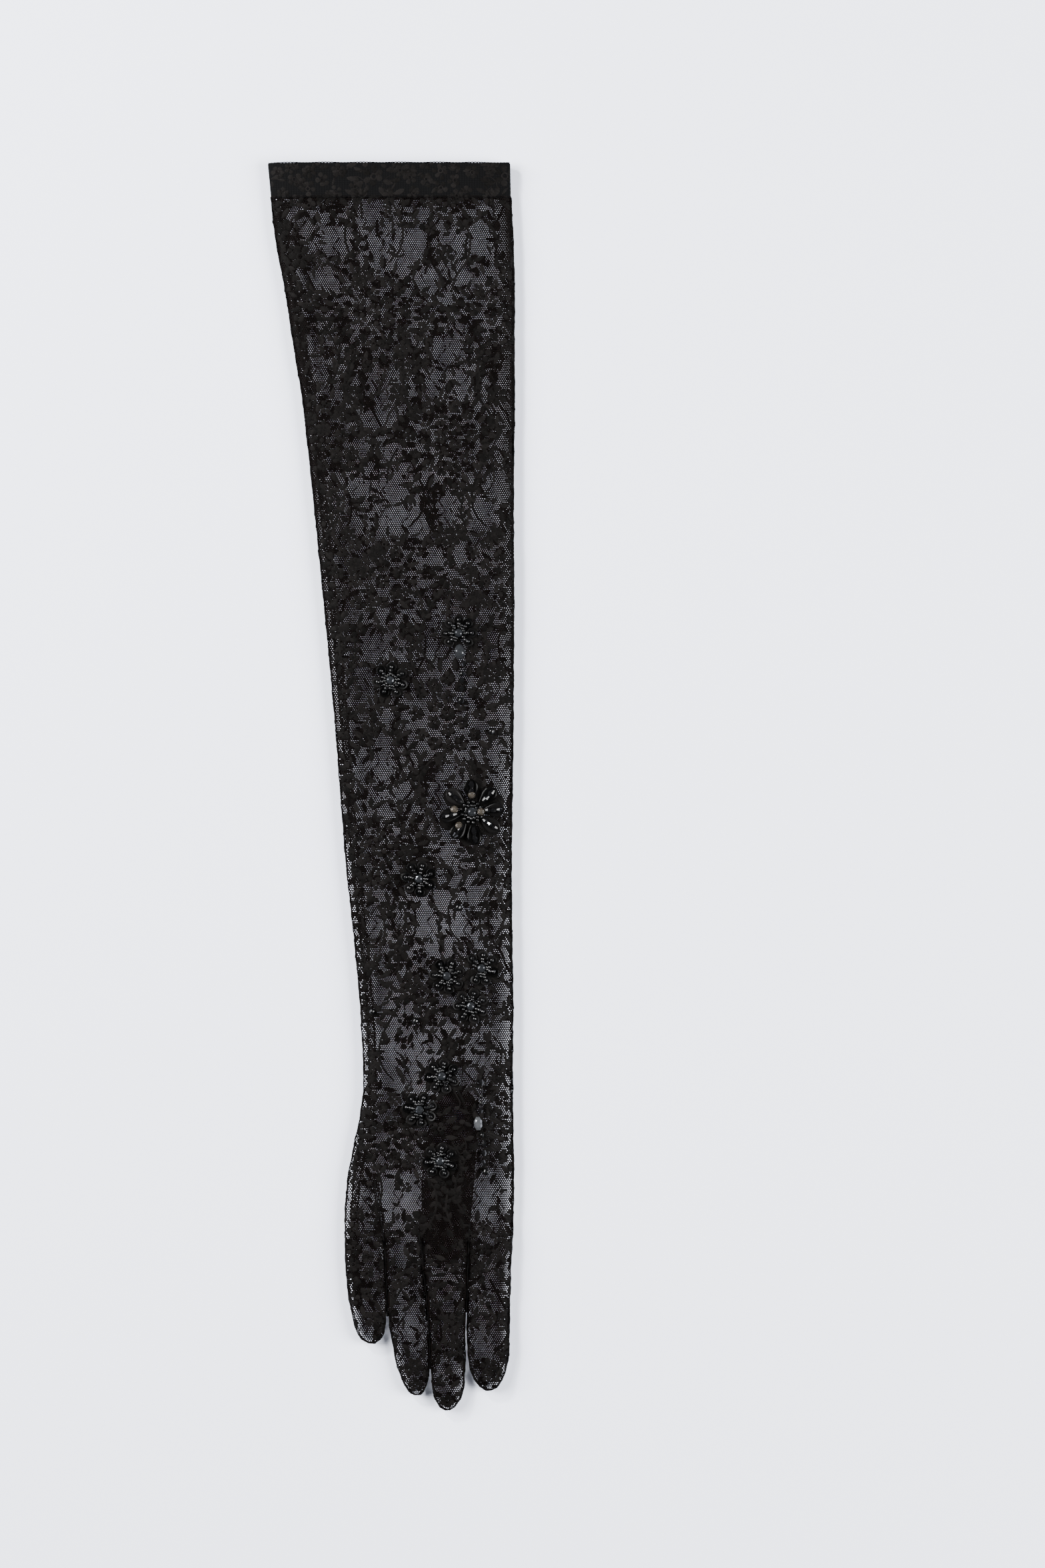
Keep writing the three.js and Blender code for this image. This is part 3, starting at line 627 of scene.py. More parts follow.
# Hem band. A dense elastic knit band, 18 mm deep, sewn round the open end. The lace's last shapes
# run up over it; its top edge is a row of small knitted loops.
def band_loop(y, inset, columns=72):
    left, right = edges("sleeve", y)
    middle, half = (left + right) / 2, (right - left) / 2
    share = np.sin(np.linspace(-1, 1, columns) * math.pi / 2)
    x = middle + share * (half - 0.15)
    top, under = cloth.height(x, y, TOP), cloth.height(x, y, UNDER)
    centre = (top + under) / 2
    top = np.maximum(top - inset, centre + 0.05)
    under = np.minimum(under + inset, centre - 0.05)
    x = middle + share * (half - 0.15 - inset)
    across = np.concatenate([x, x[::-1]])
    return np.column_stack([across, np.full(2 * columns, y), np.concatenate([top, under[::-1]])])


knit = Finish("elastic knit band", Roughness=0.7, Specular_IOR_Level=0.02)
ribs, courses = knit.bands("X", 4.2, Distortion=0.6), knit.bands("Y", 3.6, Distortion=0.8)
flecks = knit.noise(0.8, 3.0)
knit_dark, knit_light = (0.0012, 0.0012, 0.0013), (0.0034, 0.0034, 0.0036)
knit.set("Base Color", knit.mix(flecks * 0.5 + ribs * courses * 0.5, knit_dark, knit_light))
knit.bump(ribs * 0.5 + courses * 0.3 + flecks * 0.4, 0.6, 0.18)
piece = Piece()
# The band's section, as places along the sleeve and depths below the outside
profile = [(305.9, 0.9), (305.7, 0.5), (306.0, 0.1), (307.0, 0.0)]
profile += [(y, 0.0) for y in np.linspace(309, 321.6, 8)]
profile += [(323.0, 0.0), (323.6, 0.15), (323.8, 0.5), (323.7, 0.95), (323.2, 1.25)]
profile += [(y, 1.35) for y in np.linspace(320, 308, 6)] + [(306.6, 1.3), (305.9, 0.9)]
loops = [band_loop(y, inset) for y, inset in profile]
piece.add(np.concatenate(loops), grid_faces(len(loops), len(loops[0]), wrap=True), 0.2)
for side in (TOP, UNDER):
    x = np.arange(-63.6, 61.6, 0.22)
    y = 323.75 + 0.28 * np.abs(np.sin(x * 1.9)) + 0.15 * np.sin(x / 3.1)
    z = cloth.height(x, 323.0, side) + (-0.5 if side == TOP else 0.5) + 0.15 * np.cos(x * 3.8)
    thread(piece, np.column_stack([x, y, z]), 0.22, 0.3, 4)
    x = np.arange(-61.9, 61.9, 0.25)
    y = 305.9 + 0.3 * np.sin(x * 2.4)
    z = cloth.height(x, 306.4, side) + (0.12 if side == TOP else 0.25)
    thread(piece, np.column_stack([x, y, z]), 0.2, 0.3, 4)
piece.make("hem_band_knit", [knit.material], "hem_band", ["hem_band"], smooth=[0])

# Outer seam. The lace's two cut edges, turned in and oversewn with black thread 3 mm inside the
# outer edge, so the seam shows through the top layer from the hem to the little finger's tip.
SEAM_IN, SEAM_WIDE = 3.0, 3.8
SEAM_START, SEAM_END = 304, -272


def seam_line(y, across):
    left = np.where(y > KNUCKLES, edges("sleeve", y)[0], edges("little", y)[0])
    return left + SEAM_IN + across


def in_seam(x, y):
    wavy = 0.35 * np.sin(y / 4.7) + 0.25 * np.sin(y / 1.9)
    along = (y > SEAM_END) & (y < SEAM_START)
    return along & (x > seam_line(y, -0.4)) & (x < seam_line(y, SEAM_WIDE + 0.9 + wavy))


class Under:
    """The inner side of a layer, some way below the outside."""

    def __init__(self, surface, drop):
        self.surface, self.drop = surface, drop

    def height(self, x, y, side):
        return self.surface.height(x, y, side) - self.drop


seam_thread = thread_finish("black seam thread", (0.0015, 0.0014, 0.0014), (0.0054, 0.005, 0.005), 1.2)
piece = Piece()
for drop, turn, wave in ((1.1, 0.25, 1.0), (1.7, -0.4, 2.4)):
    net(piece, Under(cloth, drop), TOP, (SEAM_END, SEAM_START), turn, strand=0.3, keep=in_seam, wave=wave)
y = np.arange(SEAM_START - 0.5, SEAM_END + 0.5, -0.6)
for across, wide, drop in ((0.2, 0.9, 1.2), (SEAM_WIDE - 0.3, 0.8, 1.5)):
    x = seam_line(y, across) + 0.18 * np.sin(y / 2.3) + 0.14 * np.sin(y / 0.9)
    z = cloth.height(x, y, TOP) - drop
    ridge = ((-wide / 2, 0), (0, 0.25), (wide / 2, 0))
    rows = [np.column_stack([x + off, y, z + rise]) for off, rise in ridge]
    piece.add(np.stack(rows, 1), grid_faces(len(y), 3), 0.15)
for y in np.arange(SEAM_START - 1, SEAM_END + 1, -1.3):
    start = np.array([seam_line(y, -0.1), y, 0.0])
    end = np.array([seam_line(y - 0.8, SEAM_WIDE), y - 0.8, 0.0])
    share = np.linspace(0, 1, 5)[:, None]
    line = start + (end - start) * share
    line[:, 2] = cloth.height(line[:, 0], line[:, 1], TOP) - 1.15 + 0.3 * np.sin(share[:, 0] * math.pi)
    thread(piece, line, 0.14, 0.3, 3)
piece.make("outer_seam_threads", [seam_thread], "seam_lace", ["outer_seam"], smooth=[0])


# Finger seams and outline. A fine corded line along the fold, the seamed edge and round each
# finger, with the pattern's cut ends standing out of it as small knots and loops.
KNOTS = 0.25  # share of a cord's points that carry one


def outline_of(tube, step=0.7):
    rows = np.array(TUBES[tube])
    left, right = rows[:, [1, 0]], rows[::-1][:, [2, 0]]
    line = np.concatenate([left, right])
    reach = np.concatenate([[0], np.cumsum(np.hypot(*np.diff(line, axis=0).T))])
    along = np.arange(0, reach[-1], step)
    return np.column_stack([np.interp(along, reach, line[:, k]) for k in (0, 1)])


def corded(piece, line, lift=None, radius=0.27):
    """A cord halfway up the side, or some way above or below the top, with its knots."""
    n = np.arange(len(line))
    way = headings(line)
    outward = leftward(way)
    flat = line + outward * (0.08 * np.sin(n * 0.61) + 0.1 * np.sin(n * 0.23 + 1))[:, None]
    z = cloth.middle(*flat.T) if lift is None else cloth.height(*flat.T, TOP) + lift
    thread(piece, np.column_stack([flat, z]), radius, 0.1, 4)
    for k in np.flatnonzero(chance.uniform(size=len(line)) < KNOTS):
        if 2 < k < len(line) - 3:
            out = outward[k] * chance.uniform(-0.15, 0.35)
            start, end = flat[k - 1] - outward[k] * 0.1, flat[k + 1] - outward[k] * 0.1
            loop = [start, start + out + way[k] * 0.2, end + out - way[k] * 0.2, end]
            height = np.full(4, z[k]) + chance.uniform(-0.3, 0.3)
            thread(piece, np.column_stack([loop, height]), chance.uniform(0.16, 0.3), 0.1, 4)


FINGERS = ("little", "ring", "middle", "index")
# Where the seams between the fingers run up on to the back of the hand
ROOTS = (
    ((-8.6, -204), (-7.0, -214), (-5.0, -226), (-3.6, -236), (-3.0, -246)),
    ((13.4, -226), (15.2, -236), (16.6, -248), (17.6, -258)),
    ((40.8, -226), (40.5, -234), (40.0, -244), (39.4, -256)),
)


def sleeve_edge(side, step):
    y = np.arange(306, -235, -step)
    return np.column_stack([edges("sleeve", y)[side], y])


piece = Piece()
for tube in FINGERS:
    corded(piece, outline_of(tube))
for side in (0, 1):
    corded(piece, sleeve_edge(side, 0.7))
for path in ROOTS:
    corded(piece, curve_through(path, 60), lift=0.12, radius=0.38)
    for spread in (-0.9, 0.9, 1.7):
        corded(piece, curve_through([(x + spread, y) for x, y in path], 60), lift=-1.0, radius=0.34)
for first, second, end in (("little", "ring", -275), ("ring", "middle", -303), ("middle", "index", -273)):
    y = np.arange(-233, end, -0.7)
    between = (edges(first, y)[1] + edges(second, y)[0]) / 2
    z = cloth.middle(between, y)
    for k, lift in enumerate((-0.6, 0.4, 1.2)):
        wavy = between + 0.12 * np.sin(y / 1.3 + 2 * k)
        thread(piece, np.column_stack([wavy, y, z + lift]), 0.42, 0.1, 4)
piece.make("seam_cords", [seam_thread], "lace", ["lace_shell"], smooth=[0])


# Sides of the fold and the fingers: the net and the pattern where they turn down from the top
# layer to the under one, a few cells high, so the tube is closed all round.
def side_wall(piece, line, cells=7, strand=0.46):
    inward = -leftward(headings(line))
    inward *= np.where(within(*(line + 0.8 * inward).T), 1, -1)[:, None]
    deep = line + 0.9 * inward
    top, under = cloth.height(*deep.T, TOP), cloth.height(*deep.T, UNDER) + 0.3
    share = np.linspace(-1, 1, cells + 1)
    flat = line[:, None] + inward[:, None] * (0.12 + 0.7 * share[None, :, None] ** 4)
    z = ((top + under) / 2)[:, None] + share[None] * ((top - under) / 2)[:, None]
    spots = np.concatenate([flat, z[..., None]], 2)
    for a, b in ((spots[:-1, :-1], spots[1:, 1:]), (spots[1:, :-1], spots[:-1, 1:])):
        start, end = a.reshape(-1, 3), b.reshape(-1, 3)
        along = (end - start) / np.maximum(np.linalg.norm(end - start, axis=1), 1e-6)[:, None]
        out = np.column_stack([np.repeat(inward[:-1], cells, axis=0), np.zeros(len(start))])
        across = np.cross(along, out)
        across *= strand / 2 / np.maximum(np.linalg.norm(across, axis=1), 1e-6)[:, None]
        quads = np.stack([start - across, end - across, end + across, start + across], 1)
        piece.add(quads, np.arange(4 * len(start)).reshape(-1, 4), 0.1)
    i, j = np.meshgrid(np.arange(len(line) - 1), np.arange(cells), indexing="ij")
    filled = np.sin(i / 2.1 + 1.5 * np.sin(i / 7.0)) + np.sin(j / 1.2 + i / 3.7) > -0.1
    corner = np.arange(len(line) * (cells + 1)).reshape(len(line), cells + 1)
    outer = spots - 0.05 * np.column_stack([inward, np.zeros(len(line))])[:, None]
    faces = np.stack([corner[:-1, :-1], corner[1:, :-1], corner[1:, 1:], corner[:-1, 1:]], -1)
    piece.add(outer, faces[filled], 0.25)


piece = Piece()
for tube in FINGERS:
    side_wall(piece, outline_of(tube, PITCH))
for side in (0, 1):
    side_wall(piece, sleeve_edge(side, PITCH))
piece.make("net_sides", [net_thread], "lace", ["lace_shell"])

# Seam allowances in the fingers. The cut edges of the lace, turned in and oversewn, lie doubled in
# a strip about 3 mm wide inside each finger's sides.
ALLOWANCE = {"little": (0, 3.2), "ring": (3.0, 3.0), "middle": (3.0, 3.0), "index": (3.4, 0)}


def in_allowance(x, y):
    found = np.zeros(np.shape(x), bool)
    for tube, (near, far) in ALLOWANCE.items():
        left, right = edges(tube, y)
        inside = (y < KNUCKLES + 8) & (y > TUBES[tube][-1][0] + 2) & (x > left + 0.3) & (x < right - 0.3)
        found |= inside & ((x < left + near) | (x > right - far))
    # A 1.5 mm strip of the same doubled net also runs inside every finger's edges and along the sleeve's
    # fold; along the fold, where there is no seam, it is painted shade that darkens the edge.
    sides = within(x, y, 0.1) & ~within(x, y, 1.6) & ((y < KNUCKLES) | (x > 0))
    return found | sides


piece = Piece()
for drop, turn, wave in ((1.2, 0.3, 0.7), (1.9, -0.35, 1.9)):
    net(piece, Under(cloth, drop), TOP, (-325, 305), turn, strand=0.3, keep=in_allowance, wave=wave)
piece.make("seam_allowances_and_fold_shade", [seam_thread], "lace", ["lace_shell"])

# Thumb. Its own pouch of the same lace, folded in under the palm, so only a darker patch of doubled
# net and pattern shows through the hand that is draped over it.
THUMB = (
    (-157.6, 31.0, 37.0), (-159, 28.0, 40.4), (-162, 25.4, 43.0), (-166, 23.6, 44.3), (-182, 18.7, 44.3),
    (-205, 16.2, 42.9), (-225, 16.2, 40.9), (-238, 18.2, 38.9), (-244, 20.6, 36.4), (-247, 23.4, 33.6),
    (-248.6, 26.4, 30.6),
)
TUBES["thumb"] = THUMB
pouch = Surface((14, 47), (-251, -155), "thumb")


def in_thumb(x, y):
    left, right = edges("thumb", y)
    return (y < THUMB[0][0]) & (y > THUMB[-1][0]) & (x > left + 0.1) & (x < right - 0.1)


piece = Piece()
for line, half, rise, tone in bouquet():
    line = line * (0.8, 1) + (30, -206)
    if not in_thumb(*line.T).all():
        continue
    across = leftward(headings(line)) * half[:, None]
    rows = []
    for spots, lift in ((line + across, 0.06), (line, rise), (line - across, 0.06)):
        rows.append(np.column_stack([spots, pouch.height(*spots.T, TOP) + lift]))
    piece.add(np.stack(rows, 1), grid_faces(len(line), 3), tone)
piece.make("thumb_pattern", [satin], "lace", ["thumb"], smooth=[0])
piece = Piece()
for side, turn, lift in ((TOP, 0.06, 0.0), (UNDER, -0.09, 0.25)):
    net(piece, pouch, side, (-250, -156), turn, lift=lift, keep=in_thumb, wave=3.0 + side)
y = np.arange(-158, -248.5, -0.7)
for column in (0, 1):
    x = edges("thumb", y)[column]
    thread(piece, np.column_stack([x, y, pouch.middle(x, y)]), 0.4, 0.1, 5)
piece.make("thumb_net", [net_thread], "lace", ["thumb"])


# Small bead flowers. Six or seven round cup sequins, each held by a string of black glass seed
# beads from the flower's middle, where a cut stone sits among more of the same beads.
SEWN_OFF = 0.5  # how far a piece's lowest point is above the lace


def lathe(profile, sides):
    """A profile of (radius, height) turned round Z."""
    angle = 2 * np.pi * np.arange(sides) / sides
    rings = [np.column_stack([r * np.cos(angle), r * np.sin(angle), np.full(sides, h)]) for r, h in profile]
    return np.concatenate(rings), grid_faces(len(profile), sides, wrap=True)


def seed_bead(radius, length, sides=12):
    angle = np.linspace(0, 2 * np.pi, 9)
    middle, thick = (radius + 0.3) / 2, (radius - 0.3) / 2
    return lathe([(middle + thick * math.cos(a), length / 2 * math.sin(a)) for a in angle], sides)


def cut_stone(radius, height, sides=8):
    """Table, two rows of crown facets, girdle and a closed back."""
    levels = (
        (0, 1, 0), (0.52, 1, 0), (0.8, 0.72, 0.5), (1, 0.34, 0), (1, 0.2, 0), (0.55, 0, 0), (0, 0, 0),
    )
    points, faces = [], []
    for share, level, twist in levels:
        angle, reach = 2 * np.pi * (np.arange(sides) + twist) / sides, radius * share
        z = np.full(sides, height * level)
        points.append(np.column_stack([reach * np.cos(angle), reach * np.sin(angle), z]))
    for i in range(len(levels) - 1):
        step = round(2 * (levels[i + 1][2] - levels[i][2]))
        for k in range(sides):
            a, b = i * sides + k, i * sides + (k + 1) % sides
            c, d = a + sides, b + sides
            if step == 0:
                faces += [(a, d, b), (a, c, d)]
            elif step == 1:
                faces += [(a, c, b), (b, c, d)]
            else:
                faces += [(a, c, d), (a, d, b)]
    return np.concatenate(points), np.array(faces)


def bicone(radius, length):
    hole, end = 0.28 * radius, length / 2
    return lathe([(hole, -end), (0.5 * radius, -end), (radius, 0), (0.5 * radius, end), (hole, end)], 8)


def cup_sequin(radius, hole=0.55, thick=0.13, sides=28):
    rise = 0.035 * radius
    below = [(hole, 0), (radius * 0.7, 0.02), (radius * 0.9, rise * 0.45), (radius, rise)]
    above = [(radius - 0.03, rise + thick), (radius * 0.88, rise * 0.5 + thick)]
    above += [(radius * 0.68, thick), (hole, thick)]
    return lathe(below + above + below[:1], sides)


def tilted(angle, axis):
    return Matrix.Rotation(angle, 4, axis)


def seat(x, y, reach):
    """Where a piece is sewn on: tilted with the lace under it, and just clear of it all round."""
    slope_x = (cloth.height(x + reach, y, TOP) - cloth.height(x - reach, y, TOP)) / (2 * reach)
    slope_y = (cloth.height(x, y + reach, TOP) - cloth.height(x, y - reach, TOP)) / (2 * reach)
    angle, away = np.meshgrid(np.arange(12) * math.pi / 6, reach * np.arange(5) / 4)
    dx, dy = away * np.cos(angle), away * np.sin(angle)
    z = (cloth.height(x + dx, y + dy, TOP) - slope_x * dx - slope_y * dy).max() + SEWN_OFF
    lean = Vector((0, 0, 1)).rotation_difference(Vector((-slope_x, -slope_y, 1)))
    return Matrix.Translation((x, y, z)) @ lean.to_matrix().to_4x4()


def at(x, y, z, axis, turn=0.0):
    lean = Vector(axis).to_track_quat("Z", "Y").to_matrix().to_4x4()
    return Matrix.Translation((x, y, z)) @ lean @ tilted(turn, "Z")


def put(piece, shape, matrix, tone=0.0, kind=0):
    points, faces = shape
    matrix = np.array(matrix)
    piece.add(points @ matrix[:3, :3].T + matrix[:3, 3], faces, tone, kind)


def glass_finish(name, dark, light, roughness=0.06):
    finish = Finish(name, Roughness=roughness, Specular_IOR_Level=0.24)
    finish.set("Base Color", finish.mix(finish.tone() + (finish.noise(0.6) - 0.5) * 0.2, dark, light))
    return finish.material


SEQUIN, BEAD, STONE, CRYSTAL, CUT_BEAD, THREAD = range(6)
sequin_plastic = Finish("smoke-grey sequin plastic", Roughness=0.22, Specular_IOR_Level=0.05)
shade, haze = sequin_plastic.tone(), sequin_plastic.noise(1.4)
# The sequins' lighter tones are painted reflection: a light tone stands for a sequin tilted to catch the
# light.
sequin_dark, sequin_light = (0.0008, 0.0008, 0.0008), (0.0052, 0.0049, 0.0049)
sequin_plastic.set("Base Color", sequin_plastic.mix(shade + (haze - 0.5) * 0.25, sequin_dark, sequin_light))
sequin_plastic.set("Roughness", 0.17 + haze * 0.12)
jet = glass_finish("black seed bead glass", (0.0013, 0.0013, 0.0014), (0.009, 0.0088, 0.0095))
hematite = Finish("dark cut stone", Metallic=0.6, Roughness=0.08, Specular_IOR_Level=0.25)
# Painted glints: noise spots lighten the stone's colour, and a high tone pales a stone for the light its
# facets catch.
shade, glint = hematite.tone(), hematite.noise(1.1, 1.0)
stone_dark, stone_light = (0.007, 0.008, 0.01), (0.11, 0.115, 0.122)
hematite.set("Base Color", hematite.mix(shade * 0.8 + glint * 0.25, stone_dark, stone_light))
clear = Finish("clear faceted crystal", Roughness=0.03, Transmission_Weight=0.9, Specular_IOR_Level=0.6)
clear.set("Base Color", clear.mix(clear.noise(1.6), (0.2, 0.19, 0.185), (0.3, 0.245, 0.17)))
cut_jet = glass_finish("black cut bead glass", (0.002, 0.002, 0.0022), (0.014, 0.014, 0.0155), 0.05)
bead_finishes = [sequin_plastic.material, jet, hematite.material, clear.material, cut_jet, seam_thread]

# Each flower: x, y, its petals, the first petal's angle and the step to the next
SMALL_FLOWERS = (
    (35.1, 79.8, 7, -47, 45.7), (-0.2, 55.3, 7, -120, 51.4), (14.5, -47.6, 7, -31, 51.4),
    (29.1, -98.0, 7, 20, 51.4), (46.9, -94.0, 6, -120, 51.4), (41.4, -113.6, 7, 27, 51.4),
    (26.7, -150.1, 7, -70, 51.4), (15.2, -167.4, 7, -31, 51.4), (25.6, -193.7, 7, -20, 51.4),
)
# Beads of one string: distance from the middle, height and radius
STRING = ((6.8, 1.25, 1.18), (4.9, 1.2, 1.08), (3.3, 1.15, 1.0))
# Sequin tones and how often each comes; the lighter ones are painted reflection.
SEQUIN_SHEENS, SHARES = (0.0, 0.3, 0.65, 1.0), (0.3, 0.25, 0.25, 0.2)
for n, (x, y, petals, first, step) in enumerate(SMALL_FLOWERS):
    piece, place = Piece(), seat(x, y, 9.55)
    for k in range(petals):
        arm = place @ tilted(math.radians(first + step * k + chance.uniform(-4, 4)), "Z")
        shade = chance.choice(SEQUIN_SHEENS, p=SHARES)
        lean = tilted(-0.12 + chance.uniform(-0.09, 0.05), "Y") @ tilted(chance.uniform(-0.12, 0.12), "X")
        put(piece, cup_sequin(2.6), arm @ Matrix.Translation((6.9, 0, 0.35)) @ lean, shade, SEQUIN)
        for reach, height, radius in STRING:
            off, twist = chance.uniform(-0.22, 0.22, 2), chance.uniform(-0.5, 0.5)
            spot = at(reach + off[0], off[1], height, (1, twist, 0.2))
            put(piece, seed_bead(radius, 1.7 * radius), arm @ spot, 0.1, BEAD)
        for reach in (2.9, 4.2):
            if chance.uniform() < 0.6:
                spot = tilted(math.radians(step / 2), "Z") @ at(reach, 0, 0.95, (0.4, 1, 0.2))
                put(piece, seed_bead(0.9, 1.45), arm @ spot, 0.1, BEAD)
    put(piece, lathe([(0.0, 0.5), (2.2, 0.5), (2.2, 1.5), (0.0, 1.5)], 16), place, 0.0, BEAD)
    stone_place = place @ Matrix.Translation((0, 0, 1.4)) @ tilted(chance.uniform(0, 1), "Z")
    put(piece, cut_stone(2.2, 1.25), stone_place, 0.0, STONE)
    name = f"bead_flower_{n + 1}"
    piece.make(f"{name}_beads", bead_finishes, "sequin", [name], smooth=[SEQUIN, BEAD])

# Large bead flower. Eight drop-shaped sequins, each with a string of cut glass beads, round a dark
# stone in packed seed beads; four clear crystals are sewn between them.
LARGE_X, LARGE_Y = 42.0, -13.0


def drop_petal(start, length, half, thick=0.28):
    widths = (0.03, 0.16, 0.3, 0.44, 0.57, 0.69, 0.8, 0.89, 0.96, 1.0, 1.0, 0.93, 0.78, 0.52, 0.08)
    along, width = np.linspace(0, 1, len(widths)), half * np.array(widths)
    below = [(-1, 0.28), (-0.62, 0.06), (0, 0.0), (0.62, 0.06), (1, 0.28)]
    above = [(share, lift + thick) for share, lift in below[::-1]]
    rows = []
    for share, lift in below + above:
        height = lift * width / half + 0.5 * along ** 3
        rows.append(np.column_stack([start + length * along, share * width, height]))
    return np.stack(rows, 1).reshape(-1, 3), grid_faces(len(along), len(rows), wrap=True)


# Each petal: its angle, its tone (a lighter tone is painted reflection, for a petal tilted to the light),
# and whether its string has three beads or two
LARGE_PETALS = (
    (139, 1.1, True), (92, 0.03, False), (45, 0.1, False), (5, 0.4, True), (-34, 0.6, True),
    (-84, 0.02, False), (-126, 0.1, False), (-171, 0.25, False),
)
# Each crystal: its angle, its distance from the middle and its height
CRYSTALS = ((91, 8.8, 2.3), (172, 9.3, 2.2), (226, 9.8, 2.2), (1, 4.6, 2.9))
piece, place = Piece(), seat(LARGE_X, LARGE_Y, 17.4)
for way, shade, three in LARGE_PETALS:
    arm = place @ tilted(math.radians(way), "Z")
    lean = tilted(-0.05, "Y") @ tilted(chance.uniform(-0.08, 0.08), "X")
    put(piece, drop_petal(4.6, 12.6, 3.8), arm @ Matrix.Translation((0, 0, 0.1)) @ lean, shade, SEQUIN)
    shares, long = ((0.28, 0.52, 0.76), 2.9) if three else ((0.42, 0.74), 4.0)
    for share in shares:
        off, axis = chance.uniform(-0.2, 0.2), (1, chance.uniform(-0.2, 0.2), 0.05)
        spot = at(4.6 + 12.8 * share, off, 1.85, axis, chance.uniform(0, 1))
        put(piece, bicone(1.55, long), arm @ spot, 0.0, CUT_BEAD)
for n in range(13):
    for twist, reach, low, spread in ((0, 5.2, 1.0, 0.5), (0.24, 3.5, 1.7, 0.4)):
        spot = at(reach + chance.uniform(-0.3, 0.3), 0, low + chance.uniform(0, spread), (0.3, 1, 0.2))
        put(piece, seed_bead(1.0, 1.5), place @ tilted(2 * math.pi * n / 13 + twist, "Z") @ spot, 0.1, BEAD)
put(piece, lathe([(0.0, 0.3), (4.4, 0.3), (4.2, 1.4), (2.4, 2.0), (0.0, 2.0)], 20), place, 0.0, BEAD)
put(piece, cut_stone(2.4, 1.6, 10), place @ Matrix.Translation((0, 0, 1.9)), 0.0, STONE)
for way, reach, height in CRYSTALS:
    spot = tilted(math.radians(way), "Z") @ Matrix.Translation((reach, 0, height - 1.1))
    put(piece, cut_stone(2.0, 2.6, 9), place @ spot, 0.0, CRYSTAL)
piece.make("large_flower_beads", bead_finishes, "jet_bead", ["large_bead_flower"], smooth=[SEQUIN, BEAD])


# Arm bead drop. A short string of black glass beads that hangs from the upper flower: a long
# navette stone, then cut bicones and round beads on one thread.
def resting(x, y, low):
    return cloth.height(x, y, TOP) + SEWN_OFF + low


def long_stone(half, length, sides):
    points, faces = cut_stone(1.0, 2.1, sides)
    turn = math.pi / 8 if sides == 8 else 0.0
    flat = np.column_stack([turned(points, 0, 0, turn), points[:, 2]])
    return flat * (half, length / 2, 1.0), faces


def string_of(name, node, beads, glint):
    piece, line = Piece(), []
    for x, y, shape, half, length in beads:
        turn = math.radians(chance.uniform(-6, 6))
        if shape == "stone":
            z = resting(x, y, 0.2)
            body = long_stone(half, length, 12 if length > 7.8 else 8)
            # glint is the stone's tone, a painted glint: higher values pale the stone as if its facets
            # caught the light.
            put(piece, body, Matrix.Translation((x, y, z - 0.2)) @ tilted(turn, "Z"), glint, STONE)
        else:
            z = resting(x, y, half)
            cut = shape == "bicone"
            body = bicone(half, length) if cut else seed_bead(half, length, 16)
            spot = at(x, y, z, (math.sin(turn), math.cos(turn), 0.04), chance.uniform(0, 1))
            put(piece, body, spot, 0.05, CUT_BEAD if cut else BEAD)
        line.append((x, y, z))
    thread(piece, curve_through(line, 8 * len(line)), 0.16, 0.0, 5, THREAD)
    piece.make(name, bead_finishes, "jet_bead", [node], smooth=[SEQUIN, BEAD])


# Each bead: x, y, shape, half width and length
ARM_DROP = (
    (35.7, 70.0, "stone", 2.8, 8.0), (37.8, 64.0, "bicone", 1.5, 3.0), (38.3, 61.3, "round", 1.0, 1.7),
    (37.0, 58.6, "round", 1.5, 2.6), (36.8, 55.1, "bicone", 1.5, 3.0), (36.8, 51.0, "bicone", 1.5, 3.0),
    (37.9, 47.9, "round", 1.0, 1.7), (36.4, 44.8, "round", 1.9, 3.5),
)
string_of("arm_drop_beads", "arm_bead_drop", ARM_DROP, 0.1)

# Hand bead drop. The longer string on the back of the hand: round beads and bicones, an oblong
# cut stone halfway, and a large round bead at the end.
HAND_DROP = (
    (47.0, -153.1, "bicone", 1.5, 3.0), (46.9, -157.0, "round", 1.0, 1.8),
    (46.8, -160.2, "round", 1.0, 1.8), (46.8, -163.6, "round", 1.1, 2.0),
    (46.7, -167.4, "bicone", 1.5, 3.0), (45.3, -174.4, "stone", 2.3, 7.6),
    (47.3, -180.3, "round", 1.1, 2.0), (48.3, -184.8, "bicone", 1.5, 3.0),
    (48.4, -189.6, "bicone", 1.6, 3.0), (47.9, -194.7, "bicone", 1.5, 3.0),
    (49.4, -199.3, "round", 1.9, 3.5),
)
string_of("hand_drop_beads", "hand_bead_drop", HAND_DROP, 0.8)

# Lone beads. Four round black glass beads sewn straight to the lace between the flowers.
LONE = ((52.2, 28.8, 1.7), (35.0, -62.4, 1.9), (12.8, -121.3, 1.7), (-9.6, -116.4, 1.5))
for n, (x, y, half) in enumerate(LONE):
    piece, name = Piece(), f"lone_bead_{n + 1}"
    put(piece, seed_bead(half, 1.75 * half, 24), at(x, y, resting(x, y, half), (0.5, 1, 0.25)), 0.05, BEAD)
    piece.make(f"{name}_glass", bead_finishes, "jet_bead", [name], smooth=[BEAD])

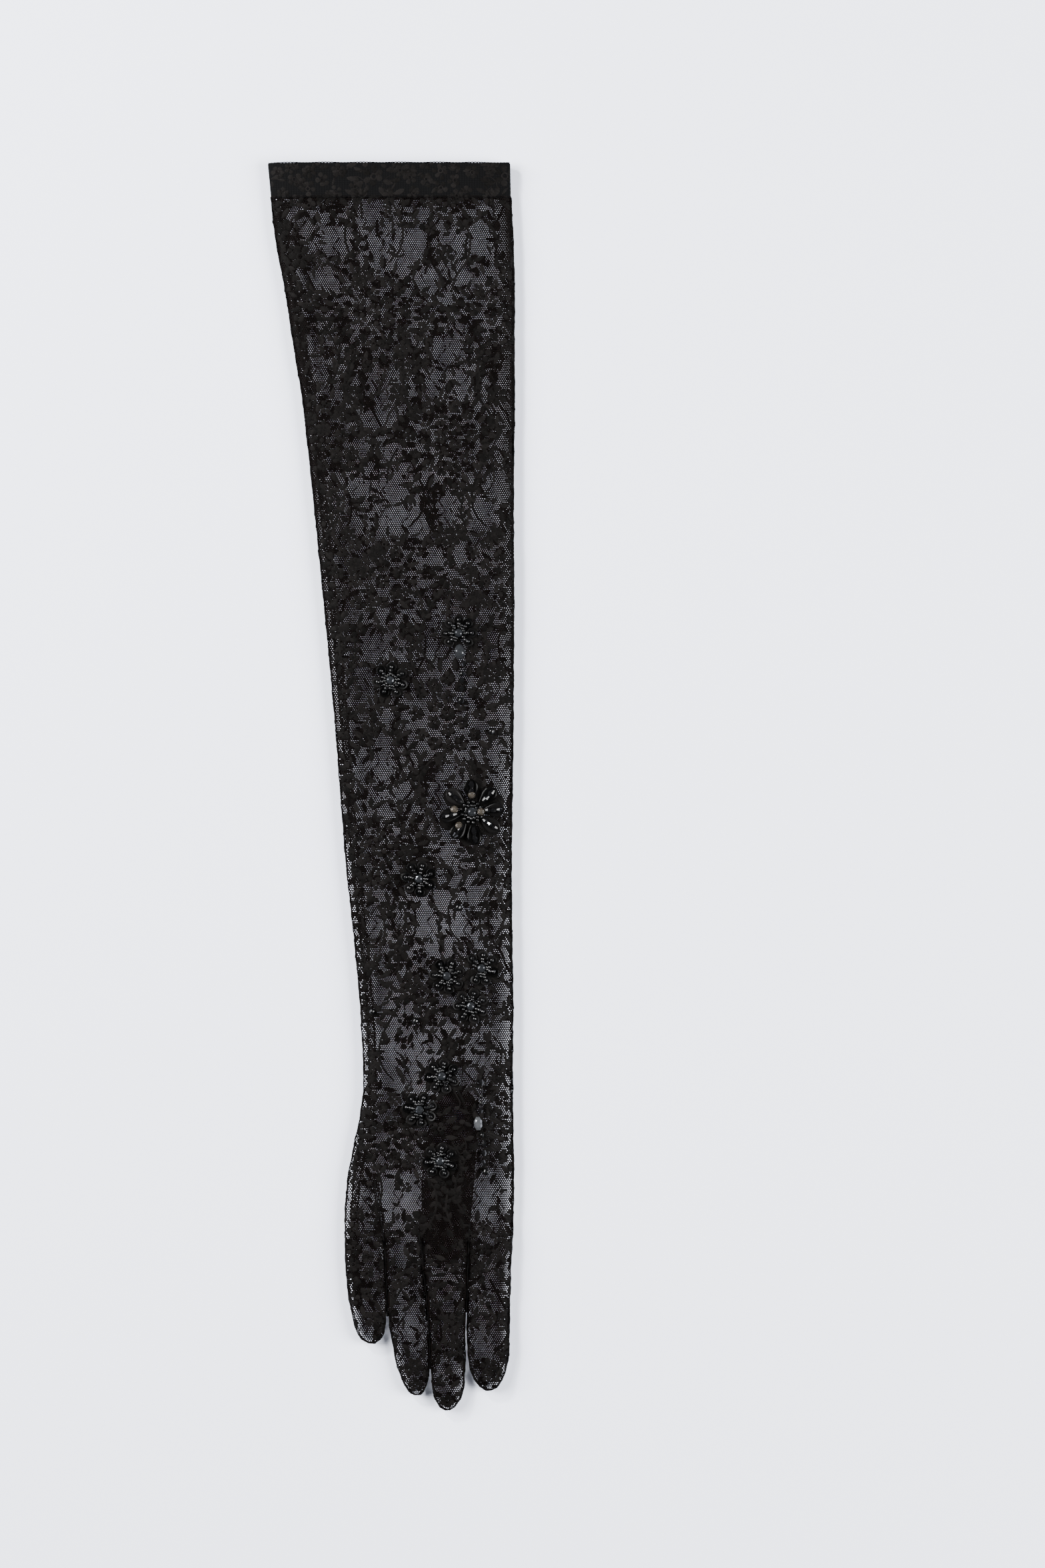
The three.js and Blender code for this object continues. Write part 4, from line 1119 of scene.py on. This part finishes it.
# Floor: a plain pale studio table top, with the faintest clouds in its tone so it isn't dead even.
# It lies a hair below the glove.
floor_mesh = bpy.data.meshes.new("floor")
REACH = 3
floor_corners = [(-REACH, -REACH, 0), (REACH, -REACH, 0), (REACH, REACH, 0), (-REACH, REACH, 0)]
floor_mesh.from_pydata(floor_corners, [], [(0, 1, 2, 3)])
floor_finish = Finish("pale table top", Roughness=0.85, Specular_IOR_Level=0.2)
floor_tone = floor_finish.mix(floor_finish.noise(60.0), (0.78, 0.81, 0.925), (0.79, 0.82, 0.935))
floor_finish.set("Base Color", floor_tone)
floor_mesh.materials.append(floor_finish.material)
floor = bpy.data.objects.new("floor", floor_mesh)
floor.location.z = -0.0002
bpy.context.scene.collection.objects.link(floor)


# Studio light: a broad soft box low on each side, so the black lace mirrors neither, and a small
# lamp beyond the hem on the left that gives the beads their points of light.
def lamp(name, place, target, size, power):
    data = bpy.data.lights.new(name, "AREA")
    data.shape, data.size, data.size_y, data.energy = "RECTANGLE", *size, power
    light = bpy.data.objects.new(name, data)
    light.location = place
    light.rotation_euler = (Vector(target) - Vector(place)).to_track_quat("-Z", "Y").to_euler()
    bpy.context.scene.collection.objects.link(light)


lamp("left soft box", (-1.9, 0.5, 1.6), (0, 0, 0), (1.3, 1.8), 208)
lamp("right soft box", (2.0, -0.1, 1.6), (0.1, 0, 0), (1.3, 1.8), 208)
lamp("bead lamp", (-1.1, 1.2, 1.3), (0, 0, 0), (0.25, 0.25), 60)
world = bpy.data.worlds.new("studio")
world.use_nodes = True
background = world.node_tree.nodes["Background"].inputs
background["Color"].default_value = (0.93, 0.95, 1.0, 1)
background["Strength"].default_value = 0.22
bpy.context.scene.world = world

# Camera: straight above the table, through a long lens, the glove left of the middle.
camera_data = bpy.data.cameras.new("camera")
camera_data.sensor_fit, camera_data.sensor_width = "AUTO", 36
camera_height, picture_height = 3.2, 0.8157
camera_data.lens = camera_height * camera_data.sensor_width / picture_height
camera = bpy.data.objects.new("camera", camera_data)
camera.location = (0.0683, 0.0015, camera_height)
bpy.context.scene.collection.objects.link(camera)
bpy.context.scene.camera = camera
